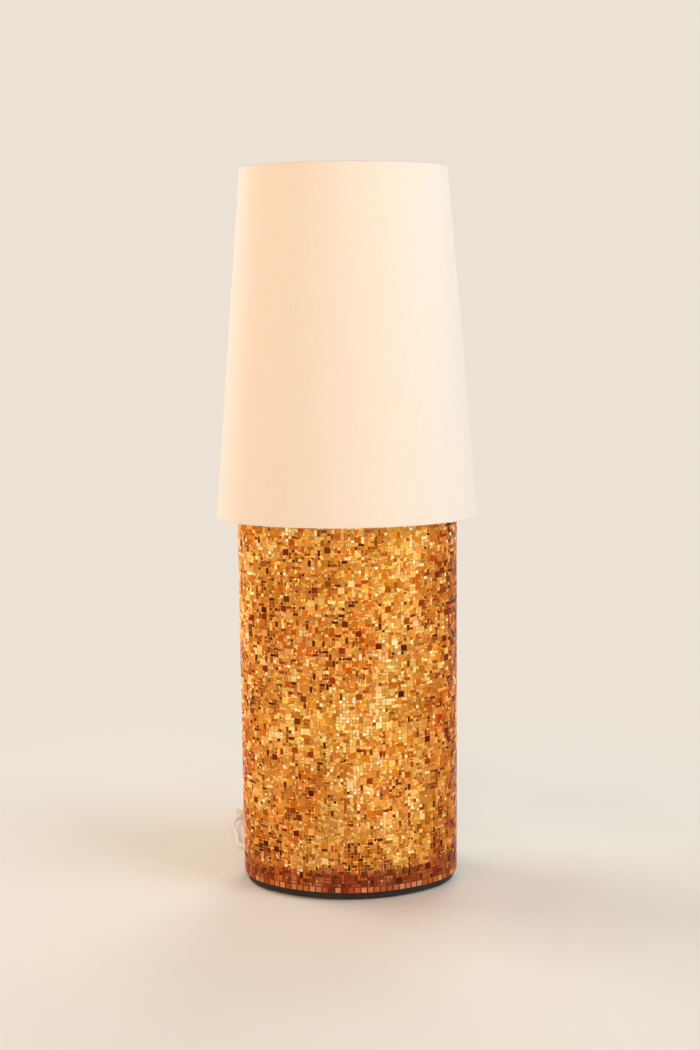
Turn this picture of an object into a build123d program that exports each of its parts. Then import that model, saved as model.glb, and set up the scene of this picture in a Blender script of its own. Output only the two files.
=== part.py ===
from build123d import *
import math
import os

# Oval floor lamp, in millimetres, +Z up. The origin is on the floor under the middle of the body,
# +X is to the right of someone who faces the lamp, and +Y points to its back.

# Oval body: glass tiles on a bed on a clear tube
BODY_WIDTH = 310.0
BODY_DEPTH = 210.0
TILE_THICKNESS = 3.0
BED_THICKNESS = 0.8
TUBE_WALL = 4.0
TUBE_HEIGHT = 526.0
GLUE_GAP = 0.3

# Plinth and base
FOOT_HEIGHT = 3.0
FOOT_RADIUS = 9.0
FOOT_INSET = 15.0
PLATE_THICKNESS = 9.0
PLINTH_RECESS = 5.0
BLOCK_HEIGHT = 30.0
BLOCK_RIM = 27.0
POCKET_DEPTH = 20.0
BASE_SCREW_RADIUS = 2.0
BASE_SCREW_LENGTH = 22.0
BASE_SCREW_HEAD_RADIUS = 4.0
BASE_SCREW_ANGLE = 25.0
BASE_SCREW_ALONG = 40.0
SCREW_FIT = 0.05

# Top cap
CAP_THICKNESS = 6.0
CAP_PLUG_DEPTH = 12.0
CAP_EDGE_FILLET = 1.5
VENT_RADIUS = 6.0
VENT_INSET = 32.0
VENT_ANGLE = 30.0
VENT_ALONG = 42.0

# Lamp pipe and its nuts
PIPE_RADIUS = 5.0
PIPE_BORE_RADIUS = 3.5
THREAD_FIT = 0.05
PIPE_CLEARANCE = 0.3
NUT_ACROSS_FLATS = 17.0
NUT_HEIGHT = 5.0
WASHER_RADIUS = 11.0
WASHER_THICKNESS = 1.5
PIPE_STUB = 1.0
RISER_LENGTH = 70.0
RISER_RADIUS = 8.0

# Lampholder for a 27 mm screw bulb
HOLDER_RADIUS = 19.5
HOLDER_WALL = 2.4
HOLDER_CAP_HEIGHT = 20.0
HOLDER_SHELL_LENGTH = 35.0
HOLDER_THREAD_DEPTH = 11.0
HOLDER_LAND = 2.0
HOLDER_CHAMFER = (3.0, 1.5)
HOLDER_SHOULDER = (2.5, 6.0)
HOLDER_DOME_HEIGHT = 11.0
SHELL_CHAMFER = 0.5
CORE_DISC = 12.0
SOCKET_RADIUS = 13.25
SOCKET_WALL = 0.5
SOCKET_LENGTH = 24.0
SLEEVE_OVER = 1.0
CONTACT_RADIUS = 3.0
CONTACT_HEIGHT = 2.0
RING_FIT = 0.05
RING_FLANGE_RADIUS = 28.5
RING_HUB_RADIUS = 22.5
RING_FLANGE = 2.5
RING_LOW_HEIGHT = 6.0
RING_HIGH_HEIGHT = 10.0

# Shade gallery, the carrier that the shade's own ring rests on
GALLERY_THICKNESS = 2.0
GALLERY_RISE = 33.0
GALLERY_EYE_RADIUS = 29.0
GALLERY_RIM_RADIUS = 49.5
GALLERY_RIM_WALL = 1.5
GALLERY_RIM_HEIGHT = 6.0
GALLERY_LEDGE = 5.6
GALLERY_SPOKE_WIDTH = 9.0
GALLERY_SPOKES = 3

# Bulbs
BULB_CAP_FIT = 0.1
BULB_CAP_WALL = 0.4
BULB_SEAT_GAP = 0.3
BULB_TIP_HEIGHT = 3.0
BULB_TIP_RADIUS = 4.0
BULB_TIP_INSET = 3.0
BULB_CAP_INSET = 2.0
BULB_CAP_SHOULDER = 3.0
BULB_NECK_RADIUS = 12.6
GLASS_WALL = 0.9
GLOBE_RADIUS = 30.0
GLOBE_HEIGHT = 83.0
GLOBE_NECK = 6.0
STEM_FOOT = 3.0
STEM_WAIST = (3.5, 14.0)
STEM_TIP_RADIUS = 2.0
STEM_HEIGHT = 34.0
STRIP_COUNT = 4
STRIP_RADIUS = 0.9
STRIP_OUT = 7.0
STRIP_LOW = 20.0
STRIP_HIGH = 52.0
BRIDGE_RADIUS = 7.5
BRIDGE_THICKNESS = 2.0
TUBE_BULB_RADIUS = 15.0
TUBE_BULB_LENGTH = 270.0
TUBE_BULB_NECK = 5.0
TUBE_BULB_SHOULDER = 8.0

# Batten lampholders on the base block
BATTEN_RADIUS = 20.0
BATTEN_FOOT_RADIUS = 27.0
BATTEN_FOOT_HEIGHT = 6.0
BATTEN_HEIGHT = 44.0
BATTEN_SCREW_RADIUS = 1.75
BATTEN_SCREW_LENGTH = 14.0
BATTEN_SCREW_OUT = 23.3
BATTEN_SCREW_HEAD = (2.9, 0.8)
BATTEN_SCREW_CROWN = (1.6, 2.0)

# Wiring in the base
TERMINAL_SIZE = (34.0, 20.0, 14.0)
TERMINAL_BACK = 34.0
TERMINAL_PITCH = 11.0
TERMINAL_WAY_RADIUS = 2.2
TERMINAL_WAY_DEPTH = 4.0
WIRE_RADIUS = 1.5
PIPE_WIRE_RADIUS = 2.0
PIPE_WIRE_BEND = 7.5
WIRE_LOW = 3.5
WIRE_LEAD = 9.0
WIRE_DROP_RUN = 28.0
WIRE_SWAY = (3.0, 8.0, 22.0)

# Shade
SHADE_HEIGHT = 480.0
SHADE_OVERLAP = 8.0
SHADE_FLARE = 29.0
SHADE_TOP_INSET = 12.5
PANEL_THICKNESS = 1.2
SHADE_WIRE_RADIUS = 1.5
HEM_THICKNESS = 0.6
HEM_HEIGHT = 9.0
HEM_CLEARANCE = 0.15
FOLD_CLEARANCE = 0.1
SEAM_WIDTH = 12.0
SEAM_THICKNESS = 0.4
SEAM_GLUE = 0.05
FITTER_CLEARANCE = 0.8
FITTER_WIDTH = 4.5
FITTER_THICKNESS = 2.0
ARM_RADIUS = 1.75
ARM_SHOULDER = 8.0
ARM_WELD = 0.35
SLIT_CLEARANCE = 0.3

# Supply cord: round flex, 5.2 mm
CORD_RADIUS = 2.6
CORD_LIFT = 0.05
GLAND_HEIGHT = 23.0
GLAND_RADIUS = 5.4
GLAND_FLANGE_RADIUS = 8.0
GLAND_FLANGE = 3.0
GLAND_EDGE = 0.8
GLAND_NUT_HEIGHT = 4.0
GLAND_FIT = 0.1
RELIEF_LENGTH = 30.0
RELIEF_ROOT_RADIUS = 5.0
RELIEF_TIP_RADIUS = 3.4
RELIEF_LAND = 2.0
GROOVE_COUNT = 5
GROOVE_START = 6.0
GROOVE_PITCH = 4.4
GROOVE_WIDTH = 1.4
GROOVE_DEPTH = 0.55

# Inline switch
SWITCH_LENGTH = 56.0
SWITCH_WIDTH = 22.0
SWITCH_HEIGHT = 17.0
SWITCH_PARTING = 7.5
SWITCH_WALL = 1.6
SWITCH_CORNER = 4.0
SWITCH_TOP_EDGE = 2.4
SWITCH_LOW_EDGE = 1.0
SWITCH_FRONT = (-177.0, 236.0)
SWITCH_HEADING = 70.0
SWITCH_RELIEF_LENGTH = 18.0
SWITCH_RELIEF_RADIUS = 4.4
ROCKER_RADIUS = 10.5
ROCKER_WIDTH = 9.6
ROCKER_PIVOT_DROP = 4.0
ROCKER_TILT = 8.0
ROCKER_GAP = 0.3
ROCKER_DISH = (3.6, 5.0)
ROCKER_BOTTOM = 2.5
PIN_RADIUS = 1.0
PIN_FIT = 0.05
PIN_HOLD = 0.02
CHEEK_THICKNESS = 2.0
CHEEK_LENGTH = 6.0
CHEEK_DROP = 3.0
SWITCH_SCREW_RADIUS = 1.25
SWITCH_SCREW_HEAD = 2.3
SWITCH_SCREW_SUNK = 0.3
SWITCH_SCREW_CONE = 1.2
SWITCH_SCREW_TOP = 12.0
SWITCH_SCREW_AT = (21.0, 6.5)
SWITCH_BOSS_RADIUS = 2.6
SWITCH_TERMINAL_SIZE = (8.0, 5.0, 6.0)
SWITCH_TERMINAL_AT = (14.0, 4.0)
SWITCH_TERMINAL_BORE = 1.2

# Two-pin plug
PLUG_LENGTH = 36.0
PLUG_WIDTH = 35.3
PLUG_NECK_WIDTH = 16.0
PLUG_THICKNESS = 13.7
PLUG_TAPER = 19.8
PLUG_CORNER = 3.0
PLUG_EDGE = 1.6
PLUG_RELIEF_LENGTH = 25.0
PLUG_RELIEF_RADIUS = 5.4
PLUG_HEADING = -36.87
PIN_SPACING = 18.6
PLUG_PIN_RADIUS = 2.0
PLUG_PIN_LENGTH = 19.0
PLUG_PIN_TIP = 1.2

# Routes of the cord on the floor, chosen by hand. Each stretch starts and ends square to what it meets.
FLOOR = CORD_RADIUS + CORD_LIFT
TO_SWITCH = [
    (0.0, 160.0, GLAND_HEIGHT),
    (-5.0, 187.0, 16.0),
    (-23.0, 209.0, 7.5),
    (-52.0, 216.0, FLOOR),
    (-82.0, 205.0, FLOOR),
    (-101.0, 179.0, FLOOR),
    (-110.0, 148.0, FLOOR),
    (-118.0, 118.2, FLOOR),
    (-138.0, 101.5, FLOOR),
    (-161.0, 102.3, FLOOR),
    (-177.5, 118.3, FLOOR),
    (-179.3, 144.2, FLOOR),
    (-184.0, 173.0, 3.6),
]
TO_COIL = [
    (-122.6, 338.5, 4.5),
    (-92.6, 338.5, FLOOR),
    (-58.4, 327.4, FLOOR),
    (-20.0, 310.3, FLOOR),
]
SWITCH_LEAD = 20.0
COIL_START = (44.0, 275.2)
COIL_START_HEADING = -30.0
COIL_LEAD = 28.0
COIL_RADIUS = 38.5
COIL_PITCH = 5.9
COIL_TURNS_DOWN = 3
COIL_PLUG_RUN = 15.0
COIL_PLUG_SLOPE = 20.0

# Values worked out from the sizes above
HALF_DIFFERENCE = (BODY_WIDTH - BODY_DEPTH) / 2
END_OUT = 1.5 * HALF_DIFFERENCE
SIDE_OUT = 2.0 * HALF_DIFFERENCE
CENTRE_GAP = math.hypot(END_OUT, SIDE_OUT)
SWING = math.degrees(math.atan2(SIDE_OUT, END_OUT))
SIDE_TO_FACE = CENTRE_GAP - SIDE_OUT

FACE_R = BODY_WIDTH / 2 - END_OUT
BED_R = FACE_R - TILE_THICKNESS
TUBE_R = BED_R - BED_THICKNESS
BORE_R = TUBE_R - TUBE_WALL
PLUG_IN_R = BORE_R - GLUE_GAP
PLATE_R = FACE_R - PLINTH_RECESS
POCKET_R = PLUG_IN_R - BLOCK_RIM

PLATE_TOP = FOOT_HEIGHT + PLATE_THICKNESS
BLOCK_TOP = PLATE_TOP + BLOCK_HEIGHT
POCKET_TOP = PLATE_TOP + POCKET_DEPTH
TUBE_TOP = PLATE_TOP + TUBE_HEIGHT
CAP_TOP = TUBE_TOP + CAP_THICKNESS

LOW_WASHER = POCKET_TOP - WASHER_THICKNESS
LOW_NUT = LOW_WASHER - NUT_HEIGHT
PIPE_BOTTOM = LOW_NUT - PIPE_STUB
HIGH_NUT = CAP_TOP + WASHER_THICKNESS
RISER_BOTTOM = HIGH_NUT + NUT_HEIGHT
HOLDER_BOTTOM = RISER_BOTTOM + RISER_LENGTH
PIPE_TOP = HOLDER_BOTTOM + HOLDER_THREAD_DEPTH
CORE_BOTTOM = PIPE_TOP + PIPE_STUB
CORE_TOP = CORE_BOTTOM + CORE_DISC
SHELL_BOTTOM = HOLDER_BOTTOM + HOLDER_CAP_HEIGHT
SHELL_TOP = SHELL_BOTTOM + HOLDER_SHELL_LENGTH
GALLERY_Z = HOLDER_BOTTOM + GALLERY_RISE
GALLERY_TOP = GALLERY_Z + GALLERY_THICKNESS

SHADE_BOTTOM = TUBE_TOP - SHADE_OVERLAP
SHADE_TOP = SHADE_BOTTOM + SHADE_HEIGHT
SHADE_LOW_R = FACE_R + SHADE_FLARE
SHADE_HIGH_R = FACE_R - SHADE_TOP_INSET

BACK_FACE = FACE_R + SIDE_TO_FACE
RELIEF_BACK = BACK_FACE + GLUE_GAP + GLAND_FLANGE
RELIEF_TIP = RELIEF_BACK + RELIEF_LENGTH
TERMINAL_REAR = TERMINAL_BACK + TERMINAL_SIZE[1] / 2


def oval(end_radius):
    """Face of the four-centre oval whose two end arcs have this radius."""
    side_radius = end_radius + CENTRE_GAP
    arcs = [
        CenterArc((END_OUT, 0), end_radius, -SWING, 2 * SWING),
        CenterArc((0, -SIDE_OUT), side_radius, SWING, 180 - 2 * SWING),
        CenterArc((-END_OUT, 0), end_radius, 180 - SWING, 2 * SWING),
        CenterArc((0, SIDE_OUT), side_radius, 180 + SWING, 180 - 2 * SWING),
    ]
    return make_face(arcs)


def oval_block(end_radius, low, high):
    """Straight-sided solid on the oval."""
    return Pos(0, 0, low) * extrude(oval(end_radius), high - low)


def oval_tube(outer, inner, low, high):
    """Straight-sided ring between two ovals."""
    return Pos(0, 0, low) * extrude(oval(outer) - oval(inner), high - low)


def oval_ring(section):
    """Wall section, drawn in the XZ plane as (end radius, height), carried round the oval's four arcs."""
    quarters = []
    for x, y, out, start, turn in (
        (END_OUT, 0, 0, -SWING, 2 * SWING),
        (0, -SIDE_OUT, CENTRE_GAP, SWING, 180 - 2 * SWING),
        (-END_OUT, 0, 0, 180 - SWING, 2 * SWING),
        (0, SIDE_OUT, CENTRE_GAP, 180 + SWING, 180 - 2 * SWING),
    ):
        face = Pos(x, y, 0) * Rot(0, 0, start) * Pos(out, 0, 0) * section
        quarters.append(revolve(face, Axis((x, y, 0), (0, 0, 1)), turn))
    return quarters[0] + quarters[1:]


def end_point(end_radius, degrees):
    """Point on the right-hand end arc, at this angle from +X."""
    angle = math.radians(degrees)
    return END_OUT + end_radius * math.cos(angle), end_radius * math.sin(angle)


def side_point(end_radius, x):
    """Point on the back side arc, at this X."""
    side_radius = end_radius + CENTRE_GAP
    return x, math.sqrt(side_radius**2 - x**2) - SIDE_OUT


def mirrored(x, y):
    """The point and its mirror images in both axes, each once."""
    return sorted({(x, y), (-x, y), (x, -y), (-x, -y)})


def rod(radius, low, high, x=0.0, y=0.0):
    """Upright cylinder."""
    grounded = (Align.CENTER, Align.CENTER, Align.MIN)
    return Pos(x, y, low) * Cylinder(radius, high - low, align=grounded)


def pipe(outer, inner, low, high, x=0.0, y=0.0):
    """Upright round tube."""
    return rod(outer, low, high, x, y) - rod(inner, low, high, x, y)


def turned(*points):
    """Solid turned about Z from a profile of (radius, height) points."""
    outline = [(radius, 0, height) for radius, height in points]
    return revolve(make_face(Polyline(*outline, close=True)), Axis.Z)


def taper(root_radius, tip_radius, length):
    """Round taper that stands on its root at the origin, along +Z."""
    return turned((0, 0), (root_radius, 0), (root_radius, RELIEF_LAND), (tip_radius, length), (0, length))


def lead_point(point, heading, length):
    """Point at this length from another, along a level heading in degrees."""
    angle = math.radians(heading)
    return point[0] + length * math.cos(angle), point[1] + length * math.sin(angle), point[2]


# Base of the lamp

def foot_places():
    ring = PLATE_R - FOOT_INSET
    return mirrored(*end_point(ring, SWING)) + mirrored(*side_point(ring, 0))


def base_screw_places():
    ring = PLUG_IN_R - BLOCK_RIM / 2
    return mirrored(*end_point(ring, BASE_SCREW_ANGLE)) + mirrored(*side_point(ring, BASE_SCREW_ALONG))


def rubber_feet():
    return [rod(FOOT_RADIUS, 0, FOOT_HEIGHT, x, y) for x, y in foot_places()]


def base_screw(extra=0.0):
    """Countersunk wood screw, head down and flush with the plate."""
    shank = BASE_SCREW_RADIUS + extra
    head = BASE_SCREW_HEAD_RADIUS + extra
    cone = head - shank
    return turned((0, 0), (head, 0), (shank, cone), (shank, BASE_SCREW_LENGTH), (0, BASE_SCREW_LENGTH))


def base_screws():
    return [Pos(x, y, FOOT_HEIGHT) * base_screw() for x, y in base_screw_places()]


def screw_holes():
    return [Pos(x, y, FOOT_HEIGHT) * base_screw(SCREW_FIT) for x, y in base_screw_places()]


def ballast_plate():
    return oval_block(PLATE_R, FOOT_HEIGHT, PLATE_TOP) - screw_holes()


def gland_drill(radius, near, far):
    """Cylinder along the gland's axis, from near to far along +Y."""
    return Pos(0, near, GLAND_HEIGHT) * Rot(-90, 0, 0) * rod(radius, 0, far - near)


def gland_hole():
    return gland_drill(GLAND_RADIUS + GLAND_FIT, TERMINAL_REAR, BACK_FACE + GLAND_FLANGE)


def base_block():
    block = oval_block(PLUG_IN_R, PLATE_TOP, BLOCK_TOP) - oval_block(POCKET_R, PLATE_TOP, POCKET_TOP)
    wire_holes = [rod(WIRE_RADIUS + PIPE_CLEARANCE, POCKET_TOP, BLOCK_TOP, x) for x in (-END_OUT, END_OUT)]
    holder_screws = [
        Pos(x, 0, 0) * screw for x in (-END_OUT, END_OUT) for screw in batten_screw_pair(SCREW_FIT)
    ]
    pipe_hole = rod(PIPE_RADIUS + PIPE_CLEARANCE, POCKET_TOP, BLOCK_TOP)
    return block - screw_holes() - gland_hole() - pipe_hole - wire_holes - holder_screws


def body_tube():
    return oval_tube(TUBE_R, BORE_R, PLATE_TOP, TUBE_TOP) - gland_hole()


def mosaic_bed():
    return oval_tube(BED_R, TUBE_R, PLATE_TOP, TUBE_TOP) - gland_hole()


def mosaic_skin():
    return oval_tube(FACE_R, BED_R, PLATE_TOP, TUBE_TOP) - gland_hole()


def top_cap():
    """Board that closes the tube, with a ring of vent holes for the bulbs inside."""
    lid = oval_block(FACE_R, TUBE_TOP, CAP_TOP)
    lid = fillet(lid.edges().group_by(Axis.Z)[-1], CAP_EDGE_FILLET)
    cap = lid + oval_block(PLUG_IN_R, TUBE_TOP - CAP_PLUG_DEPTH, TUBE_TOP)
    ring = PLUG_IN_R - VENT_INSET
    places = mirrored(*end_point(ring, VENT_ANGLE)) + mirrored(*side_point(ring, VENT_ALONG))
    vents = [rod(VENT_RADIUS, TUBE_TOP - CAP_PLUG_DEPTH, CAP_TOP, x, y) for x, y in places]
    return cap - vents - rod(PIPE_RADIUS + PIPE_CLEARANCE, TUBE_TOP - CAP_PLUG_DEPTH, CAP_TOP)


# Lamp pipe

def centre_pipe():
    return pipe(PIPE_RADIUS, PIPE_BORE_RADIUS, PIPE_BOTTOM, PIPE_TOP)


def hexagon_nut(low):
    circumradius = NUT_ACROSS_FLATS / math.sqrt(3)
    nut = Pos(0, 0, low) * extrude(RegularPolygon(circumradius, 6), NUT_HEIGHT)
    return nut - rod(PIPE_RADIUS + THREAD_FIT, low, low + NUT_HEIGHT)


def pipe_nuts():
    return [hexagon_nut(low) for low in (LOW_NUT, HIGH_NUT)]


def pipe_washers():
    bore = PIPE_RADIUS + PIPE_CLEARANCE
    return [pipe(WASHER_RADIUS, bore, low, low + WASHER_THICKNESS) for low in (LOW_WASHER, CAP_TOP)]


def riser_sleeve():
    return pipe(RISER_RADIUS, PIPE_RADIUS + PIPE_CLEARANCE, RISER_BOTTOM, HOLDER_BOTTOM)


# Upper lampholder

def holder_cap():
    """Domed cap, threaded on the pipe, that closes the lampholder from below."""
    inner = HOLDER_RADIUS - HOLDER_WALL
    shoulder = HOLDER_BOTTOM + HOLDER_THREAD_DEPTH
    land = RISER_RADIUS + HOLDER_LAND
    dome = turned(
        (0, HOLDER_BOTTOM),
        (land, HOLDER_BOTTOM),
        (land + HOLDER_CHAMFER[0], HOLDER_BOTTOM + HOLDER_CHAMFER[1]),
        (HOLDER_RADIUS - HOLDER_SHOULDER[0], HOLDER_BOTTOM + HOLDER_SHOULDER[1]),
        (HOLDER_RADIUS, HOLDER_BOTTOM + HOLDER_DOME_HEIGHT),
        (HOLDER_RADIUS, SHELL_BOTTOM),
        (0, SHELL_BOTTOM),
    )
    return dome - rod(inner, shoulder, SHELL_BOTTOM) - rod(PIPE_RADIUS + THREAD_FIT, HOLDER_BOTTOM, shoulder)


def holder_shell():
    shell = pipe(HOLDER_RADIUS, HOLDER_RADIUS - HOLDER_WALL, SHELL_BOTTOM, SHELL_TOP)
    return chamfer(shell.edges().group_by(Axis.Z)[-1], SHELL_CHAMFER)


def holder_core():
    """Ceramic core: a disc with a sleeve that insulates the screw shell."""
    outer = HOLDER_RADIUS - HOLDER_WALL - THREAD_FIT
    disc = rod(outer, CORE_BOTTOM, CORE_TOP)
    sleeve = pipe(outer, SOCKET_RADIUS + SOCKET_WALL, CORE_TOP, CORE_TOP + SOCKET_LENGTH + SLEEVE_OVER)
    return disc + sleeve - rod(PIPE_WIRE_RADIUS + PIPE_CLEARANCE, CORE_BOTTOM, CORE_BOTTOM + CORE_DISC / 2)


def socket_shell(low):
    return pipe(SOCKET_RADIUS + SOCKET_WALL, SOCKET_RADIUS, low, low + SOCKET_LENGTH)


def socket_contact(low):
    return rod(CONTACT_RADIUS, low, low + CONTACT_HEIGHT)


def shade_ring(seat, height, up):
    """Ring nut on the lampholder's shell. Its flange lies against the gallery at this height."""
    bore = HOLDER_RADIUS + RING_FIT
    heights = (0, RING_FLANGE, height)
    low, flange, end = (seat + up * rise for rise in heights)
    return turned(
        (bore, low),
        (RING_FLANGE_RADIUS, low),
        (RING_FLANGE_RADIUS, flange),
        (RING_HUB_RADIUS, flange),
        (RING_HUB_RADIUS, end),
        (bore, end),
    )


def shade_gallery():
    """Pressed carrier: an eye, three spokes and a rimmed ledge for the shade's own ring."""
    ledge_radius = GALLERY_RIM_RADIUS + GALLERY_LEDGE
    inside = GALLERY_RIM_RADIUS - GALLERY_RIM_WALL
    eye_bore = HOLDER_RADIUS + PIPE_CLEARANCE
    ledge = pipe(ledge_radius, inside - GALLERY_LEDGE, GALLERY_Z, GALLERY_TOP)
    rim = pipe(GALLERY_RIM_RADIUS, inside, GALLERY_TOP, GALLERY_TOP + GALLERY_RIM_HEIGHT)
    plate = pipe(GALLERY_EYE_RADIUS, eye_bore, GALLERY_Z, GALLERY_TOP)
    from_x = (GALLERY_EYE_RADIUS + eye_bore) / 2
    to_x = inside - GALLERY_LEDGE / 2
    spoke = Pos((from_x + to_x) / 2, 0, GALLERY_Z + GALLERY_THICKNESS / 2) * Box(
        to_x - from_x, GALLERY_SPOKE_WIDTH, GALLERY_THICKNESS
    )
    spokes = [Rot(0, 0, 60 + turn * 360 / GALLERY_SPOKES) * spoke for turn in range(GALLERY_SPOKES)]
    return ledge + rim + plate + spokes


# Bulbs. Each is drawn from its seat, the top of the socket's centre contact.

def bulb_tip(seat):
    """Insulated tip with its contact, below the screw cap."""
    low = seat + BULB_SEAT_GAP
    high = low + BULB_TIP_HEIGHT
    return turned((0, low), (BULB_TIP_RADIUS, low), (BULB_NECK_RADIUS - BULB_TIP_INSET, high), (0, high))


def bulb_collar_z(seat):
    """Height of the joint between a bulb's screw cap and its glass."""
    return seat + SOCKET_LENGTH + BULB_SEAT_GAP


def bulb_screw_cap(seat):
    low = seat + BULB_SEAT_GAP + BULB_TIP_HEIGHT
    radius = SOCKET_RADIUS - BULB_CAP_FIT
    shoulder = low + BULB_CAP_SHOULDER
    high = bulb_collar_z(seat)
    floor = BULB_NECK_RADIUS - BULB_CAP_INSET
    cup = turned((0, low), (floor, low), (radius, shoulder), (radius, high), (0, high))
    return cup - rod(radius - BULB_CAP_WALL, shoulder, high)


def globe_solid(collar, shrink):
    """Pear-shaped solid: a ball and the cone that touches it, on a round neck."""
    radius = GLOBE_RADIUS - shrink
    neck = BULB_NECK_RADIUS - shrink
    centre = collar + GLOBE_HEIGHT - GLOBE_RADIUS
    neck_top = collar + GLOBE_NECK
    away = math.hypot(neck, centre - neck_top)
    tilt = math.atan2(centre - neck_top, neck) - math.acos(radius / away)
    touch = (radius * math.cos(tilt), centre - radius * math.sin(tilt))
    side = (radius, centre)
    top = (0, centre + radius)
    outline = [
        Line((0, 0, collar), (neck, 0, collar)),
        Line((neck, 0, collar), (neck, 0, neck_top)),
        Line((neck, 0, neck_top), (touch[0], 0, touch[1])),
        ThreePointArc((touch[0], 0, touch[1]), (side[0], 0, side[1]), (top[0], 0, top[1])),
        Line((0, 0, top[1]), (0, 0, collar)),
    ]
    return revolve(make_face(outline), Axis.Z)


def bulb_globe(seat):
    collar = bulb_collar_z(seat)
    return globe_solid(collar, 0) - globe_solid(collar, GLASS_WALL)


def bulb_filament(seat):
    """Glass stem with four upright light strips."""
    low = bulb_collar_z(seat)
    top = low + STEM_HEIGHT
    foot = BULB_NECK_RADIUS - GLASS_WALL - GLUE_GAP
    waist, waist_height = STEM_WAIST
    stem = turned(
        (0, low),
        (foot, low),
        (foot, low + STEM_FOOT),
        (waist, low + waist_height),
        (STEM_TIP_RADIUS, top),
        (0, top),
    )
    bridge = rod(BRIDGE_RADIUS, top - BRIDGE_THICKNESS, top)
    strip = rod(STRIP_RADIUS, low + STRIP_LOW, low + STRIP_HIGH, STRIP_OUT)
    return stem + bridge + [Rot(0, 0, turn * 360 / STRIP_COUNT) * strip for turn in range(STRIP_COUNT)]


def tube_bulb_glass(seat):
    """Opal tube with a round end."""
    collar = bulb_collar_z(seat)

    def solid(shrink):
        radius = TUBE_BULB_RADIUS - shrink
        neck = BULB_NECK_RADIUS - shrink
        high = collar + TUBE_BULB_LENGTH - TUBE_BULB_RADIUS
        body = turned(
            (0, collar),
            (neck, collar),
            (neck, collar + TUBE_BULB_NECK),
            (radius, collar + TUBE_BULB_SHOULDER),
            (radius, high),
            (0, high),
        )
        return body + Pos(0, 0, high) * Sphere(radius)

    return solid(0) - solid(GLASS_WALL)


# Batten lampholders, drawn about their own axis

BATTEN_SEAT = BLOCK_TOP + BATTEN_HEIGHT - SOCKET_LENGTH - CONTACT_HEIGHT


def batten_body():
    foot = rod(BATTEN_FOOT_RADIUS, BLOCK_TOP, BLOCK_TOP + BATTEN_FOOT_HEIGHT)
    body = rod(BATTEN_RADIUS, BLOCK_TOP, BLOCK_TOP + BATTEN_HEIGHT)
    socket = rod(SOCKET_RADIUS + SOCKET_WALL, BATTEN_SEAT, BLOCK_TOP + BATTEN_HEIGHT)
    return foot + body - socket - batten_screw_pair(SCREW_FIT)


def batten_screw_pair(extra=0.0):
    """Round-head screws on both sides of a batten lampholder."""
    radius = BATTEN_SCREW_RADIUS + extra
    seat = BLOCK_TOP + BATTEN_FOOT_HEIGHT
    shank_low = seat - BATTEN_SCREW_LENGTH
    return [rod(radius, shank_low, seat, 0, side * BATTEN_SCREW_OUT) for side in (-1, 1)]


def batten_screws():
    seat = BLOCK_TOP + BATTEN_FOOT_HEIGHT
    radius, edge = BATTEN_SCREW_HEAD
    crown, height = BATTEN_SCREW_CROWN
    head = turned((0, 0), (radius, 0), (radius, edge), (crown, height), (0, height))
    heads = [Pos(0, side * BATTEN_SCREW_OUT, seat) * head for side in (-1, 1)]
    return [shank + head for shank, head in zip(batten_screw_pair(), heads)]


# Wiring

def run_radii(points):
    """Radius of each corner of a route: as large as 0.45 of the shorter run beside it allows."""
    radii = []
    for before, corner, after in zip(points, points[1:], points[2:]):
        come = Vector(corner) - Vector(before)
        leave = Vector(after) - Vector(corner)
        half_turn = math.radians(come.get_angle(leave)) / 2
        radii.append(0.45 * min(come.length, leave.length) / math.tan(half_turn))
    return radii


def flex(name, radius, points):
    """Round flex along straight runs that tangent arcs join."""
    radii = run_radii(points)
    path = FilletPolyline(*points, radius=radii)
    start = Plane(origin=points[0], z_dir=Vector(points[1]) - Vector(points[0]))
    solid = sweep(start * Circle(radius), path=path)
    share = solid.volume / (math.pi * radius**2 * path.length)
    print(f"{name}: length {path.length:.1f}, volume over section x length {share:.4f}")
    print(f"{name}: radii {', '.join(f'{value:.0f}' for value in radii)}")
    return solid


def terminal_block():
    length, width, height = TERMINAL_SIZE
    low = POCKET_TOP - height
    block = Pos(0, TERMINAL_BACK, POCKET_TOP - height / 2) * Box(length, width, height)
    way = rod(TERMINAL_WAY_RADIUS, low, low + TERMINAL_WAY_DEPTH, 0, TERMINAL_BACK)
    return block - [Pos(step * TERMINAL_PITCH, 0, 0) * way for step in (-1, 0, 1)]


def wire_level():
    """Height at which the wires leave the terminal block, clear of its lower face."""
    return POCKET_TOP - TERMINAL_SIZE[2] + PIPE_WIRE_RADIUS


def pipe_wire():
    """Flex from the terminal block, level under the pipe and up through it."""
    front = TERMINAL_BACK - TERMINAL_SIZE[1] / 2
    route = [(0, front, wire_level()), (0, 0, wire_level()), (0, 0, CORE_BOTTOM)]
    path = FilletPolyline(*route, radius=PIPE_WIRE_BEND)
    start = Plane(origin=route[0], z_dir=(0, -1, 0))
    return sweep(start * Circle(PIPE_WIRE_RADIUS), path=path)


def holder_wire(side):
    """Wire from the terminal block along the pocket and up to one batten lampholder."""
    low = PLATE_TOP + WIRE_LOW
    out = TERMINAL_SIZE[0] / 2
    drop, bend, turn = (TERMINAL_BACK - sway for sway in WIRE_SWAY)
    route = [
        (side * out, TERMINAL_BACK, wire_level()),
        (side * (out + WIRE_LEAD), TERMINAL_BACK, wire_level()),
        (side * (out + WIRE_DROP_RUN), drop, low),
        (side * (END_OUT - WIRE_LEAD), bend, low),
        (side * END_OUT, turn, low),
        (side * END_OUT, 0, low),
        (side * END_OUT, 0, BLOCK_TOP),
    ]
    return flex("holder_wire", WIRE_RADIUS, route)


def supply_cord():
    """Inner length of the cord, from the terminal block through the gland."""
    return gland_drill(CORD_RADIUS, TERMINAL_REAR, RELIEF_TIP)


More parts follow.
